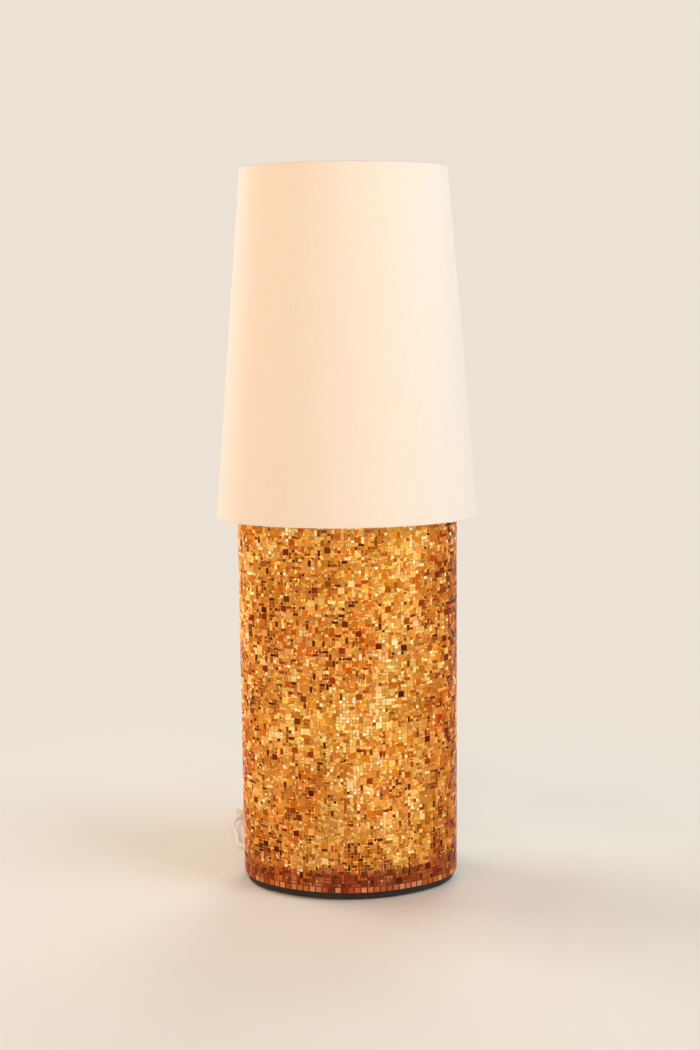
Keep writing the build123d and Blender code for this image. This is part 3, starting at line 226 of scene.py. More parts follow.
def ahead(point, heading, length):
    """Point at this length from another, along a level heading."""
    return Vector(point) + Vector((math.cos(heading), math.sin(heading), 0)) * length


SWITCH_FRONT = Vector((-177 * MM, 236 * MM, SWITCH_LINE))
SWITCH_LENGTH = 56 * MM
SWITCH_RELIEF = 18 * MM
front_tip = ahead(SWITCH_FRONT, SWITCH_HEADING, -SWITCH_RELIEF)
rear_tip = ahead(SWITCH_FRONT, SWITCH_HEADING, SWITCH_LENGTH + SWITCH_RELIEF)
first_route = metres(to_switch) + [ahead(front_tip, SWITCH_HEADING, -LEAD), front_tip]
print("the first stretch has", len(first_route), "points and ends at", tuple(front_tip))

# %% [markdown]
# The coil spirals in on the floor for three turns, climbs a layer in half a turn, and spirals out again.
# A spline of this kind runs inside its control points, so they stand a little further out than the turns.

# %% The coil's turns
COIL_START = Vector((44 * MM, 275.2 * MM, FLOOR_LINE))
COIL_HEADING = math.radians(-30)
COIL_LEAD = 28 * MM
COIL_RADIUS = 38.5 * MM
COIL_PITCH = 5.9 * MM
TURNS_IN = 3
CLIMB = 0.5
PLUG_HEADING = math.radians(-36.87)
PLUG_LINE = 13.7 / 2 * MM
PLUG_RUN = 15 * MM
PLUG_SLOPE = 20 * MM
POINTS_A_TURN = 16
coil_turns = 2 * TURNS_IN + (COIL_HEADING - PLUG_HEADING) / (2 * math.pi)
coil_entry = ahead(COIL_START, COIL_HEADING, 2 * CORD_RADIUS)
coil_middle = ahead(coil_entry, COIL_HEADING + math.pi / 2, -COIL_RADIUS)


def coil_point(turn, outward=1.0):
    """Point of the cord's centre line after this many turns, moved outward from the coil's middle."""
    past = turn - TURNS_IN
    inner = COIL_RADIUS - TURNS_IN * COIL_PITCH
    if past <= 0:
        radius, rise = COIL_RADIUS - COIL_PITCH * turn, 0.0
    elif past < CLIMB:
        radius = inner - COIL_PITCH * past * (1 - past / CLIMB)
        rise = (1 - math.cos(math.pi * past / CLIMB)) / 2
    else:
        radius, rise = inner + COIL_PITCH * (past - CLIMB), 1.0
    angle = COIL_HEADING + math.pi / 2 - 2 * math.pi * turn
    level = Vector((coil_middle.x, coil_middle.y, FLOOR_LINE + rise * COIL_PITCH))
    return ahead(level, angle, radius * outward)


stand_out = 1 / math.cos(math.pi / POINTS_A_TURN)
steps = [step / POINTS_A_TURN for step in range(1, round(coil_turns * POINTS_A_TURN))]
turns = [coil_point(step, stand_out) for step in steps]
coil_exit = coil_point(coil_turns)
plug_tip = ahead(coil_exit, PLUG_HEADING, 2 * CORD_RADIUS + 2 * PLUG_RUN + PLUG_SLOPE)
plug_tip.z = PLUG_LINE
second_route = (
    [rear_tip, ahead(rear_tip, SWITCH_HEADING, LEAD)]
    + metres(to_coil)
    + [ahead(COIL_START, COIL_HEADING, -COIL_LEAD), ahead(COIL_START, COIL_HEADING, -CORD_RADIUS)]
    + turns
    + [
        ahead(coil_exit, PLUG_HEADING, 2 * CORD_RADIUS),
        ahead(coil_exit, PLUG_HEADING, 2 * CORD_RADIUS + PLUG_RUN),
        ahead(plug_tip, PLUG_HEADING, -PLUG_RUN),
        plug_tip,
    ]
)
print("the coil has", round(coil_turns, 2), "turns and", len(turns), "points")

# %% [markdown]
# The sheath is soft white PVC. It has a slight satin sheen, and years of handling leave it a touch darker in
# places. The two curves share it.

# %% Make the cord
cord_white = start_finish("cord_white_pvc", tint(251, 244, 235), 0.42, Specular_IOR_Level=0.45)
uneven(cord_white, tint(253, 247, 239), tint(246, 236, 224), 14 * MM, gloss=(0.36, 0.5))
raise_surface(cord_white, object_noise(cord_white, 0.8 * MM), 0.15, 0.1 * MM)


def flex(name, route, finish):
    """Round flex whose smooth centre line these points steer."""
    line = bpy.data.curves.new(name, "CURVE")
    line.dimensions = "3D"
    spline = line.splines.new("NURBS")
    spline.points.add(len(route) - 1)
    for point, place in zip(spline.points, route):
        point.co = (*place, 1)
    spline.order_u = 3
    spline.use_endpoint_u = True
    spline.resolution_u = 10
    line.bevel_depth = CORD_RADIUS
    line.bevel_resolution = 4
    line.use_fill_caps = True
    line.materials.append(finish)
    made = bpy.data.objects.new(name, line)
    bpy.context.scene.collection.objects.link(made)
    return made


flex_to_switch = flex("flex_to_switch", first_route, cord_white)
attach(flex_to_switch, "root")
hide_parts("cord_to_switch")
flex_to_plug = flex("flex_to_plug", second_route, cord_white)
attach(flex_to_plug, "root")
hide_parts("cord_to_coil", "cord_coil", "cord_to_plug")
dress(cord_white, "supply_cord", "pipe_wire", "holder_wires")
print("the cord has two stretches,", len(first_route), "and", len(second_route), "points")

# %% [markdown]
# ## Switch, plug and strain reliefs
#
# They are moulded plastic. The shells have the fine spark-eroded texture of a mould, and the rubber sleeves
# have less gloss. The pins of the plug and the caps of the bulbs are nickel plated.

# %% Moulded plastic and rubber
moulded_white = start_finish("moulded_white", tint(252, 245, 236), 0.34, Coat_Weight=0.15, Coat_Roughness=0.2)
uneven(moulded_white, tint(254, 248, 240), tint(247, 238, 226), 22 * MM, gloss=(0.28, 0.42))
raise_surface(moulded_white, object_noise(moulded_white, 0.25 * MM, detail=6), 0.22, 0.06 * MM)
soft_sleeve = start_finish("soft_white_sleeve", tint(248, 240, 229), 0.6)
uneven(soft_sleeve, tint(251, 243, 233), tint(240, 229, 214), 9 * MM, gloss=(0.52, 0.68))
raise_surface(soft_sleeve, object_noise(soft_sleeve, 0.4 * MM, detail=5), 0.2, 0.05 * MM)
nickel = start_finish("nickel_plate", tint(206, 200, 188), 0.22, metallic=1.0)
uneven(nickel, tint(214, 208, 196), tint(186, 178, 164), 3 * MM, gloss=(0.16, 0.3))
raise_surface(nickel, object_noise(nickel, 0.5 * MM, stretch=(1, 1, 0.1)), 0.1, 0.02 * MM)
dress(moulded_white, "switch_base", "switch_cover", "rocker", "plug_body")
dress(soft_sleeve, "switch_reliefs", "plug_relief", "gland_relief", "cord_gland", "gland_nut")
dress(nickel, "plug_pins", "bulb_cap", "left_bulb_cap", "right_bulb_cap")
print("plastics:", moulded_white.name, soft_sleeve.name)

# %% [markdown]
# ## The oval
#
# The body is a four-centre oval, the way a carpenter draws one: two small arcs for the ends and two large
# ones for the sides, each tangent to the next. One function walks round it by arc length, so that tiles and
# threads keep their size on the ends and on the sides.

# %% Walk round the oval
body_low, body_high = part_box("mosaic_skin")
HALF_DIFFERENCE = body_high.x - body_high.y
END_OUT = 1.5 * HALF_DIFFERENCE
SIDE_OUT = 2.0 * HALF_DIFFERENCE
CENTRE_GAP = math.hypot(END_OUT, SIDE_OUT)
SWING = math.atan2(SIDE_OUT, END_OUT)
FACE_R = body_high.x - END_OUT
end_length = SWING * FACE_R
side_length = (math.pi - 2 * SWING) * (FACE_R + CENTRE_GAP)
around = 4 * end_length + 2 * side_length


def on_oval(share):
    """Arc centres, added radii and angles at these shares of the way round, from the right-hand end."""
    length = np.asarray(share, float) % 1.0 * around
    bounds = np.cumsum([end_length, side_length, 2 * end_length, side_length])
    arc = np.searchsorted(bounds, length, side="right")
    starts = np.array([0, SWING, math.pi - SWING, math.pi + SWING, 2 * math.pi - SWING])
    radii = FACE_R + np.array([0, CENTRE_GAP, 0, CENTRE_GAP, 0])
    centres = np.array([(END_OUT, 0), (0, -SIDE_OUT), (-END_OUT, 0), (0, SIDE_OUT), (END_OUT, 0)])
    begun = np.concatenate([[0], bounds])[arc]
    angle = starts[arc] + (length - begun) / radii[arc]
    return centres[arc], radii[arc] - FACE_R, angle


def oval_points(share, end_radius, height):
    """Points on the oval with this end radius, at these shares of the way round and these heights."""
    centre, more, angle = on_oval(share)
    reach = np.asarray(end_radius) + more
    x = centre[..., 0] + reach * np.cos(angle)
    y = centre[..., 1] + reach * np.sin(angle)
    return np.stack([x, y, np.broadcast_to(height, x.shape)], axis=-1)


print("the body is", round(around * 1000), "mm round")

# %% [markdown]
# ## Setting out the tiles
#
# A mosaic like this is set by hand from glass squares of about 9 mm and from halves and quarters of them.
# They sit on a grid of 4.6 mm. Walking over the grid, each free cell takes a whole square of two by two
# cells, a half, a quarter, or a quarter that is split once more. A fixed seed gives the same mosaic each
# time. The bottom row is a border of whole squares with wider joints.

# %% Lay out the mosaic
GRID = 4.6 * MM
JOINT = 0.5 * MM
BORDER_JOINT = 1.5 * MM
CUT_AT = (0.35, 0.65)
columns = 4 * round(around / GRID / 4)
rows = round((body_high.z - body_low.z) / GRID)
LAYS = [((2, 2), 9), ((2, 1), 16), ((1, 2), 16), ((1, 1), 45), ((0.5, 1), 7), ((1, 0.5), 7)]
setter = random.Random(11)
taken = np.zeros((columns, rows), bool)
taken[:, :2] = True
tiles = [(column, 0, 2, 2, BORDER_JOINT) for column in range(0, columns, 2)]
for row in range(rows):
    for column in range(columns):
        if taken[column, row]:
            continue
        wide, high = setter.choices([lay for lay, _ in LAYS], [weight for _, weight in LAYS])[0]
        cells = [(column + i, row + j) for i in range(math.ceil(wide)) for j in range(math.ceil(high))]
        if any(c >= columns or r >= rows or taken[c, r] for c, r in cells):
            wide, high, cells = 1, 1, [(column, row)]
        for cell in cells:
            taken[cell] = True
        if wide < 1:
            cut = setter.uniform(*CUT_AT)
            tiles += [(column, row, cut, 1, JOINT), (column + cut, row, 1 - cut, 1, JOINT)]
        elif high < 1:
            cut = setter.uniform(*CUT_AT)
            tiles += [(column, row, 1, cut, JOINT), (column, row + cut, 1, 1 - cut, JOINT)]
        else:
            tiles.append((column, row, wide, high, JOINT))
tiles = np.array(tiles, float)
print(len(tiles), "tiles on a grid of", columns, "by", rows)

# %% [markdown]
# ## Choosing the glass
#
# Most of the glass is amber. The rest lies along one line of tones: down through orange and brown to nearly
# black, and up through honey to a pale straw. So a tile's colour is one number on that line, and two small
# side steps, towards milky glass and towards pink. Lighter and darker clouds drift over the body, in the
# glass's colour and in its glow. On top of them a few tiles are much darker, and some of the small ones much
# paler: pale glass that is also painted glints, which sparkle by their colour and their glow.

# %% The line of tones
LIT_LINE = {
    -3: (86, 22, 0), -2: (134, 44, 0), -1: (184, 87, 5), 0: (213, 132, 44),
    1: (240, 172, 88), 2: (255, 215, 142), 3: (255, 246, 204),
}
DARK_LINE = {-2: (72, 22, 4), -1: (126, 48, 14), 0: (178, 84, 33), 1: (214, 119, 61), 2: (238, 158, 99)}
MILKY_STEP = np.array([-9, 0, 11])
PINK_STEP = np.array([3, -6, 3])


def on_line(line, tone, milky, pink):
    """Colour of the glass at this place on a line of tones."""
    places = sorted(line)
    plain = [np.interp(tone, places, [line[place][channel] for place in places]) for channel in range(3)]
    return tint(*(np.array(plain) + milky * MILKY_STEP + pink * PINK_STEP).clip(0, 255))


print("plain amber is", np.round(on_line(LIT_LINE, 0, 0, 0), 3))

# %% [markdown]
# The lowest 30 mm stand in front of the solid base, where no light comes through: there the same glass looks
# brown and mauve, and the border row is paler. Above, each tile glows in its own colour. The two tubular
# bulbs stand in the middle of the right and of the left half. Painted light and painted shade also go into
# the glass's own colour: it is painted paler right of the middle, and deeper in colour at the far right.

# %% Clouds and steps of tone
CLOUD = 60 * MM
SMALL_CLOUD = 16 * MM
UPRIGHT = np.array([1, 1, 0.6])
CLOUD_CONTRAST = 2.2
CHANNEL_APART = 7
CLOUD_TONE = 0.45
SMALL_CLOUD_TONE = 0.5
LIT_SCATTER = 0.8
DARK_SHARE = 0.12
DARK_DRIFT = 0.6
DARK_STEP = (1.0, 2.7)
# Some small tiles are much paler: pale glass that is also painted glints.
PALE_GLINT_SHARE = 0.13
PALE_GLINT_STEP = (0.8, 2.1)


def cloud(place, size, channel=0.0):
    """Soft noise between about -1 and 1, stretched upright. Each channel is another pattern."""
    shifted = Vector(place * UPRIGHT) / size + Vector((0, 0, CHANNEL_APART * channel))
    return CLOUD_CONTRAST * noise.noise(shifted)


def lit_tone(place, small):
    """Place of a lit tile on the line of tones."""
    tone = CLOUD_TONE * cloud(place, CLOUD) + SMALL_CLOUD_TONE * cloud(place, SMALL_CLOUD, 1)
    tone += setter.gauss(0, LIT_SCATTER)
    chance = setter.random()
    if chance < DARK_SHARE * (1 - DARK_DRIFT * cloud(place, CLOUD, 2)):
        tone -= setter.uniform(*DARK_STEP)
    # A much paler small tile: pale glass that is also a painted glint.
    elif small and chance > 1 - PALE_GLINT_SHARE:
        tone += setter.uniform(*PALE_GLINT_STEP)
    return tone


print("about", round(100 * DARK_SHARE), "tiles in a hundred are dark")

# %% [markdown]
# Where the lamps inside stand decides how much each part of the body glows. Two lists say it along the body,
# from its left end at -1 to its right end at 1: a step of tone, which is painted light and painted shade in
# the glass's own colour as well as in its glow, and a level of glow. The glow also builds up over the first
# 90 mm above the base, and rises again under the shade; near the base the glass's own colour is also painted
# darker, as painted shade. The border between the dark foot and the lit glass isn't level, because the base
# inside the tube was bedded by hand.

# %% Pick a glass for every tile
BASE_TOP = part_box("base_block")[1].z
EDGE_RISE = 5
SMALL_EDGE_WAVE = 9
EDGE_WAVE = 5
LIT_SHARE = 0.66
LIGHT_BUILDS_UP = 90 * MM
# Painted shade: how far the glass's own colour is darkened next to the base.
LOW_PAINTED_SHADE = 0.25
LOW_LEVEL = 0.75
TOP_GLOW = 60 * MM
TOP_LEVEL = 0.15
BORDER_TONE = 0.9
FOOT_SCATTER = 0.75
MAUVE = 0.6
MILKY_CLOUD, MILKY_SCATTER = 0.4, 0.6
PINK_CLOUD, PINK_SCATTER = 0.5, 0.8
GLOW_PLACES = [-1.0, -0.92, -0.7, -0.35, 0.15, 0.6, 0.88, 1.0]
# These steps of tone are painted light and painted shade, in the glass's own colour and in its glow.
PAINTED_LIGHT_TONES = [-0.1, -0.1, -0.4, -0.1, 0.2, 0.25, -0.75, -0.85]
GLOW_LEVELS = [1.4, 1.25, 1.02, 1.0, 1.0, 1.08, 1.08, 1.0]


def across(place, values):
    """Value at this place's share of the way from the left end to the right end, -1 to 1."""
    return float(np.interp(place[0] / body_high.x, GLOW_PLACES, values))


tile_middle_height = body_low.z + (tiles[:, 1] + tiles[:, 3] / 2) * GRID
middle = oval_points((tiles[:, 0] + tiles[:, 2] / 2) / columns, FACE_R, tile_middle_height)
glass = np.zeros((len(tiles), 3))
glow = np.zeros((len(tiles), 3))
for index, (place, tile) in enumerate(zip(middle, tiles)):
    waves = SMALL_EDGE_WAVE * cloud(place, SMALL_CLOUD, 3) + EDGE_WAVE * cloud(place, CLOUD, 4)
    edge = BASE_TOP + (EDGE_RISE + waves) * MM
    milky = MILKY_CLOUD * cloud(place, CLOUD, 5) + setter.gauss(0, MILKY_SCATTER)
    pink = PINK_CLOUD * cloud(place, CLOUD, 6) + setter.gauss(0, PINK_SCATTER)
    if place[2] < edge:
        border = BORDER_TONE if tile[1] == 0 else 0.0
        tone = border + SMALL_CLOUD_TONE * cloud(place, SMALL_CLOUD, 1) + setter.gauss(0, FOOT_SCATTER)
        mauve = MAUVE * cloud(place, 2 * SMALL_CLOUD, 7)
        glass[index] = on_line(DARK_LINE, tone, milky + mauve, pink + mauve)
    else:
        built_up = min(1, (place[2] - edge) / LIGHT_BUILDS_UP)
        near_top = max(0, 1 - (body_high.z - place[2]) / TOP_GLOW)
        # The step along the body is painted light and painted shade in the glass's own colour as well as its
        # glow.
        tone = lit_tone(place, tile[2] * tile[3] <= 1) + across(place, PAINTED_LIGHT_TONES)
        # Near the base the tone is lowered: painted shade in the glass's own colour, besides the weaker glow.
        colour = np.array(on_line(LIT_LINE, tone - LOW_PAINTED_SHADE * (1 - built_up), milky, pink))
        lit_up = LOW_LEVEL + (1 - LOW_LEVEL) * built_up + TOP_LEVEL * near_top
        glass[index] = colour * LIT_SHARE
        glow[index] = colour * lit_up * across(place, GLOW_LEVELS)
print("mean glass colour", np.round(glass.mean(axis=0), 3))

# %% [markdown]
# ## Making the tiles
#
# Each tile is a small closed block: a face, four sides that widen towards the bed, and a back that is sunk
# in the grout. Hand-set tiles are never level, so each is tipped by a degree or two, which makes the glass
# sparkle. All tiles are one mesh. Its colour comes from a colour attribute, one value a tile.

# %% Build the tile mesh
FACE_SUNK = 0.2 * MM
BACK_SUNK = 1.6 * MM
TILE_FACE = FACE_R - FACE_SUNK
TILE_BACK = FACE_R - BACK_SUNK
DRAFT = 0.3 * MM
TIP = 0.16 * MM


def tile_corners(inset, radius, tipped):
    """Corner points of all tiles, counterclockwise as seen from outside, and their places when unrolled."""
    joint = tiles[:, 4] / 2 + inset
    left = tiles[:, 0] + joint / GRID
    right = tiles[:, 0] + tiles[:, 2] - joint / GRID
    low = tiles[:, 1] + joint / GRID
    high = tiles[:, 1] + tiles[:, 3] - joint / GRID
    share = np.stack([left, right, right, left], axis=1) / columns + cut_along / around
    height = body_low.z + np.stack([low, low, high, high], axis=1) * (body_high.z - body_low.z) / rows
    height = (height + cut_up).clip(body_low.z, body_high.z)
    return oval_points(share, radius + tipped, height), share, height


print("the faces of the tiles stand", round(1000 * (TILE_FACE - TILE_BACK), 1), "mm over their backs")

# %% [markdown]
# Each corner is off by a random tenth of a millimetre at most, and each face leans a little. The draws come
# from one generator with a fixed seed. There are thousands of corners, so they are computed as arrays.

# %% Place the blocks
dice = np.random.default_rng(5)
CUT_ERROR = 0.1 * MM
cut_along = dice.normal(0, CUT_ERROR / 2, (len(tiles), 4)).clip(-CUT_ERROR, CUT_ERROR)
cut_up = dice.normal(0, CUT_ERROR / 2, (len(tiles), 4)).clip(-CUT_ERROR, CUT_ERROR)
lean = dice.normal(0, TIP / 2, (len(tiles), 2)).clip(-TIP, TIP)
tipped = lean[:, :1] * np.array([-1, 1, 1, -1]) + lean[:, 1:] * np.array([-1, -1, 1, 1])
tipped = tipped.clip(-FACE_SUNK, FACE_SUNK)
face_points, face_share, face_height = tile_corners(DRAFT, TILE_FACE, tipped)
back_points, back_share, back_height = tile_corners(0.0, TILE_BACK, 0.0)
corners = np.concatenate([face_points, back_points], axis=1).reshape(-1, 3)
BACK, FACE = (7, 6, 5, 4), (0, 1, 2, 3)
SIDES = [(4, 5, 1, 0), (5, 6, 2, 1), (6, 7, 3, 2), (7, 4, 0, 3)]
pattern = np.array([BACK, *SIDES, FACE])
faces = (np.arange(len(tiles))[:, None, None] * 8 + pattern).reshape(-1, 4)


def block_mesh(name, points, faces):
    """Mesh from arrays of points and four-cornered faces."""
    mesh = bpy.data.meshes.new(name)
    mesh.from_pydata(points.tolist(), [], faces.tolist())
    mesh.update()
    made = bpy.data.objects.new(name, mesh)
    bpy.context.scene.collection.objects.link(made)
    return made


mosaic = block_mesh("mosaic_tiles", corners, faces)
print("tile mesh:", len(mosaic.data.vertices), "points,", 2 * len(mosaic.data.polygons), "triangles")

# %% [markdown]
# The mesh also gets a flat map: the wall of tiles unrolled, so that a texture can later be painted on it.

# %% Colour and unroll the tiles
def paint_faces(piece, name, colours, faces_each):
    """Colour attribute with one colour for every block of this many four-cornered faces."""
    layer = piece.data.color_attributes.new(name, "FLOAT_COLOR", "CORNER")
    opaque = np.concatenate([colours, np.ones((len(colours), 1))], axis=1)
    layer.data.foreach_set("color", np.repeat(opaque, faces_each * 4, axis=0).ravel())


def unroll(piece, shares, heights, faces):
    """Flat map of a wall that is unrolled from the oval: share of the way round, and height."""
    flat = piece.data.uv_layers.new(name="OFBake")
    tall = (heights - body_low.z) / (body_high.z - body_low.z)
    points = np.stack([shares, tall], axis=-1).reshape(-1, 2)
    flat.data.foreach_set("uv", points[faces.ravel()].ravel())


paint_faces(mosaic, "tile_glass", glass, len(pattern))
paint_faces(mosaic, "tile_glow", glow, len(pattern))
unroll(
    mosaic,
    np.concatenate([face_share, back_share], axis=1),
    np.concatenate([face_height, back_height], axis=1),
    faces,
)
print("colour attributes:", [layer.name for layer in mosaic.data.color_attributes])

# %% [markdown]
# ## Glass
#
# The tiles are pressed glass with streaks of a second colour, a glossy fired face and a fine ripple. Some of
# the light of the lamps inside comes through them, so they also glow a little in their own colour.

# %% Glass finish
glass_finish = start_finish(
    "amber_glass", tint(208, 135, 62), 0.24, Specular_IOR_Level=0.12, Specular_Tint=(1.0, 0.66, 0.32, 1.0),
    Emission_Strength=0.52,
)
STREAK = 2.4 * MM
STREAK_RANGE = (0.84, 1.14)
FIRED_GLOSS = (0.14, 0.34)
own_colour = add(glass_finish, "ShaderNodeVertexColor", layer_name="tile_glass")
own_glow = add(glass_finish, "ShaderNodeVertexColor", layer_name="tile_glow")
streaks = object_noise(glass_finish, STREAK, detail=4, stretch=(1, 1, 0.6))
streak_share = spread(glass_finish, streaks, *STREAK_RANGE)
streaked = add(
    glass_finish, "ShaderNodeVectorMath", [(own_colour.outputs["Color"], 0), (streak_share, "Scale")],
    operation="SCALE",
)
glowing = add(
    glass_finish, "ShaderNodeVectorMath", [(own_glow.outputs["Color"], 0), (streak_share, "Scale")],
    operation="SCALE",
)
feed(glass_finish, streaked.outputs["Vector"], "Base Color")
feed(glass_finish, glowing.outputs["Vector"], "Emission Color")
feed(glass_finish, spread(glass_finish, object_noise(glass_finish, 6 * MM), *FIRED_GLOSS), "Roughness")
raise_surface(glass_finish, object_noise(glass_finish, 1.6 * MM, detail=2), 0.35, 0.12 * MM)
mosaic.data.materials.append(glass_finish)
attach(mosaic, "root")
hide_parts("mosaic_skin")
print("glass finish has", len(glass_finish.node_tree.nodes), "nodes")

# %% [markdown]
# ## Grout
#
# The tiles sit in a cream grout that lets more light through than they do: between them run thin bright
# lines. It is one closed ring, just under the faces of the tiles. Above the solid base it glows, unevenly,
# because it was rubbed in by hand. In front of the base it is plain brown.

# %% Build the grout ring
bed_low, bed_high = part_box("mosaic_bed")
GROUT_SUNK = 0.75 * MM
GROUT_THICK = 0.8 * MM
GROUT_FACE = FACE_R - GROUT_SUNK
BED_INSIDE = bed_high.x - END_OUT - GROUT_THICK
GROUT_BANDS = 60


def ring_mesh(name, outline, count):
    """Closed ring round the oval. The outline is a closed list of (end radius, height)."""
    outline = np.array(outline)
    share = np.repeat(np.arange(count) / count, len(outline))
    points = oval_points(share, np.tile(outline[:, 0], count), np.tile(outline[:, 1], count))
    column = np.arange(count)[:, None] * len(outline)
    next_column = np.roll(np.arange(count), -1)[:, None] * len(outline)
    here = np.arange(len(outline))[None, :]
    after = np.roll(np.arange(len(outline)), -1)[None, :]
    faces = np.stack([column + here, next_column + here, next_column + after, column + after], axis=-1)
    return block_mesh(name, points, faces.reshape(-1, 4))


def smooth(piece):
    """Shades a mesh as one smooth surface."""
    for polygon in piece.data.polygons:
        polygon.use_smooth = True


levels = np.linspace(bed_low.z, bed_high.z, GROUT_BANDS)
outline = [(GROUT_FACE, level) for level in levels] + [(BED_INSIDE, bed_high.z), (BED_INSIDE, bed_low.z)]
grout = ring_mesh("mosaic_grout", outline, columns)
smooth(grout)
print("grout ring:", len(grout.data.polygons), "faces")

# %% [markdown]
# The grout is matt. Its glow comes in patches, and two ramps shape it: one turns it off in front of the base,
# and one takes it down towards the right-hand end.

# %% Grout finish
GLOW_STARTS = 4 * MM
GLOW_PATCH = 5 * MM
PATCH_LEVELS = (0.3, 2.3)
PATCH_NOISE = (0.54, 0.74)
RIGHT_GROUT = 0.4
RIGHT_FADE = 0.6
grout_finish = start_finish("lit_grout", tint(112, 60, 26), 0.85)
uneven(grout_finish, tint(128, 70, 32), tint(88, 44, 18), 12 * MM, gloss=(0.75, 0.95))
grout_place = add(grout_finish, "ShaderNodeTexCoord")
parts = add(grout_finish, "ShaderNodeSeparateXYZ", [(grout_place.outputs["Object"], "Vector")])
above_base = spread(grout_finish, parts.outputs["Z"], 0, 1, BASE_TOP - GLOW_STARTS, BASE_TOP + GLOW_STARTS)
patches = spread(grout_finish, object_noise(grout_finish, GLOW_PATCH, detail=4), *PATCH_LEVELS, *PATCH_NOISE)
right_end = spread(grout_finish, parts.outputs["X"], 1, RIGHT_GROUT, RIGHT_FADE * body_high.x, body_high.x)
lit_patches = add(grout_finish, "ShaderNodeMath", [(above_base, 0), (patches, 1)], operation="MULTIPLY")
glow_level = add(
    grout_finish, "ShaderNodeMath", [(lit_patches.outputs["Value"], 0), (right_end, 1)], operation="MULTIPLY"
)
feed(grout_finish, glow_level.outputs["Value"], "Emission Strength")
grout_shader = grout_finish.node_tree.nodes["Principled BSDF"]
grout_shader.inputs["Emission Color"].default_value = (*tint(255, 200, 96), 1)
raise_surface(grout_finish, object_noise(grout_finish, 0.9 * MM, detail=6), 0.5, 0.2 * MM)
grout.data.materials.append(grout_finish)
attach(grout, "root")
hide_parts("mosaic_bed")
print("grout finish has", len(grout_finish.node_tree.nodes), "nodes")

# %% [markdown]
# ## Plinth and base
#
# Under the tiles the lamp stands on a black steel plate that is set back a little, so that the body seems to
# float on a dark line. The plate is powder coated: a fine orange peel, hardly any gloss. The rubber feet are
# moulded, the screws zinc plated. Inside sits a block of plywood.

# %% Black, rubber, zinc and wood
powder_black = start_finish("black_powder_coat", tint(30, 26, 24), 0.55)
uneven(powder_black, tint(34, 30, 27), tint(22, 19, 17), 30 * MM, gloss=(0.45, 0.65))
raise_surface(powder_black, object_noise(powder_black, 0.7 * MM, detail=4), 0.4, 0.06 * MM)
foot_rubber = start_finish("foot_rubber", tint(36, 35, 34), 0.8)
uneven(foot_rubber, tint(42, 41, 39), tint(27, 26, 25), 5 * MM, gloss=(0.72, 0.9))
raise_surface(foot_rubber, object_noise(foot_rubber, 0.5 * MM, detail=5), 0.4, 0.08 * MM)
zinc = start_finish("zinc_plate", tint(186, 186, 180), 0.34, metallic=1.0)
uneven(zinc, tint(198, 198, 190), tint(158, 158, 150), 4 * MM, gloss=(0.26, 0.44))
raise_surface(zinc, object_noise(zinc, 0.4 * MM, stretch=(1, 1, 0.15)), 0.2, 0.03 * MM)
plywood = start_finish("base_plywood", tint(202, 164, 118), 0.7)
uneven(plywood, tint(210, 172, 124), tint(172, 128, 82), 40 * MM, gloss=(0.6, 0.8), stretch=(0.12, 1.6, 8))
raise_surface(plywood, object_noise(plywood, 1.2 * MM, stretch=(0.08, 1, 1)), 0.4, 0.15 * MM)
dress(powder_black, "ballast_plate")
dress(foot_rubber, "rubber_feet")
dress(zinc, "base_screws", "pipe_nuts", "pipe_washers", "centre_pipe")
dress(zinc, "rocker_pin", "switch_screws", "batten_screws")
dress(plywood, "base_block")
print("base finishes are set")

# %% [markdown]
# ## Cap, riser, lampholder and gallery
#
# They hide in the shade, and show from above and from below. The cap is a lacquered board with vent holes.
# The riser and the gallery are white powder coat, the lampholder is moulded in a slightly warmer white, its
# core is porcelain and its contacts are brass.

# %% Lacquer, white coat, porcelain and brass
lacquer = start_finish("cap_lacquer", tint(240, 226, 206), 0.4, Coat_Weight=0.3, Coat_Roughness=0.15)
uneven(lacquer, tint(243, 230, 211), tint(230, 212, 188), 45 * MM, gloss=(0.32, 0.5))
raise_surface(lacquer, object_noise(lacquer, 3 * MM, stretch=(0.15, 1, 1)), 0.15, 0.08 * MM)
white_coat = start_finish("white_powder_coat", tint(240, 232, 220), 0.45)
uneven(white_coat, tint(243, 236, 225), tint(230, 220, 205), 18 * MM, gloss=(0.38, 0.55))
raise_surface(white_coat, object_noise(white_coat, 0.6 * MM, detail=4), 0.3, 0.05 * MM)
holder_white = start_finish("holder_white", tint(240, 230, 214), 0.3, Coat_Weight=0.2, Coat_Roughness=0.12)
uneven(holder_white, tint(244, 235, 220), tint(230, 217, 196), 12 * MM, gloss=(0.22, 0.38))
raise_surface(holder_white, object_noise(holder_white, 0.3 * MM, detail=5), 0.15, 0.04 * MM)
porcelain = start_finish("porcelain", tint(238, 232, 222), 0.18, Coat_Weight=0.5, Coat_Roughness=0.05)
uneven(porcelain, tint(242, 237, 228), tint(226, 217, 202), 8 * MM, gloss=(0.12, 0.26))
brass = start_finish("contact_brass", tint(196, 158, 84), 0.28, metallic=1.0)
uneven(brass, tint(206, 168, 92), tint(160, 122, 58), 5 * MM, gloss=(0.2, 0.4))
dress(lacquer, "top_cap")
dress(white_coat, "riser_sleeve", "shade_gallery", "shade_fitter", "shade_bottom_wire", "shade_top_wire")
dress(holder_white, "holder_cap", "holder_shell", "shade_ring_lower", "shade_ring_upper")
dress(holder_white, "left_batten", "right_batten", "terminal_block")
dress(porcelain, "holder_core")
dress(brass, "holder_contacts", "left_batten_contacts", "right_batten_contacts", "switch_terminals")
print("lampholder finishes are set")

# %% [markdown]
# ## Bulbs
#
# The bulbs are opal glass. A lit opal bulb looks evenly white from close by, so its glass glows a little. The
# light strips inside the upper one are yellow. The tube that carries the mosaic is opal acrylic.

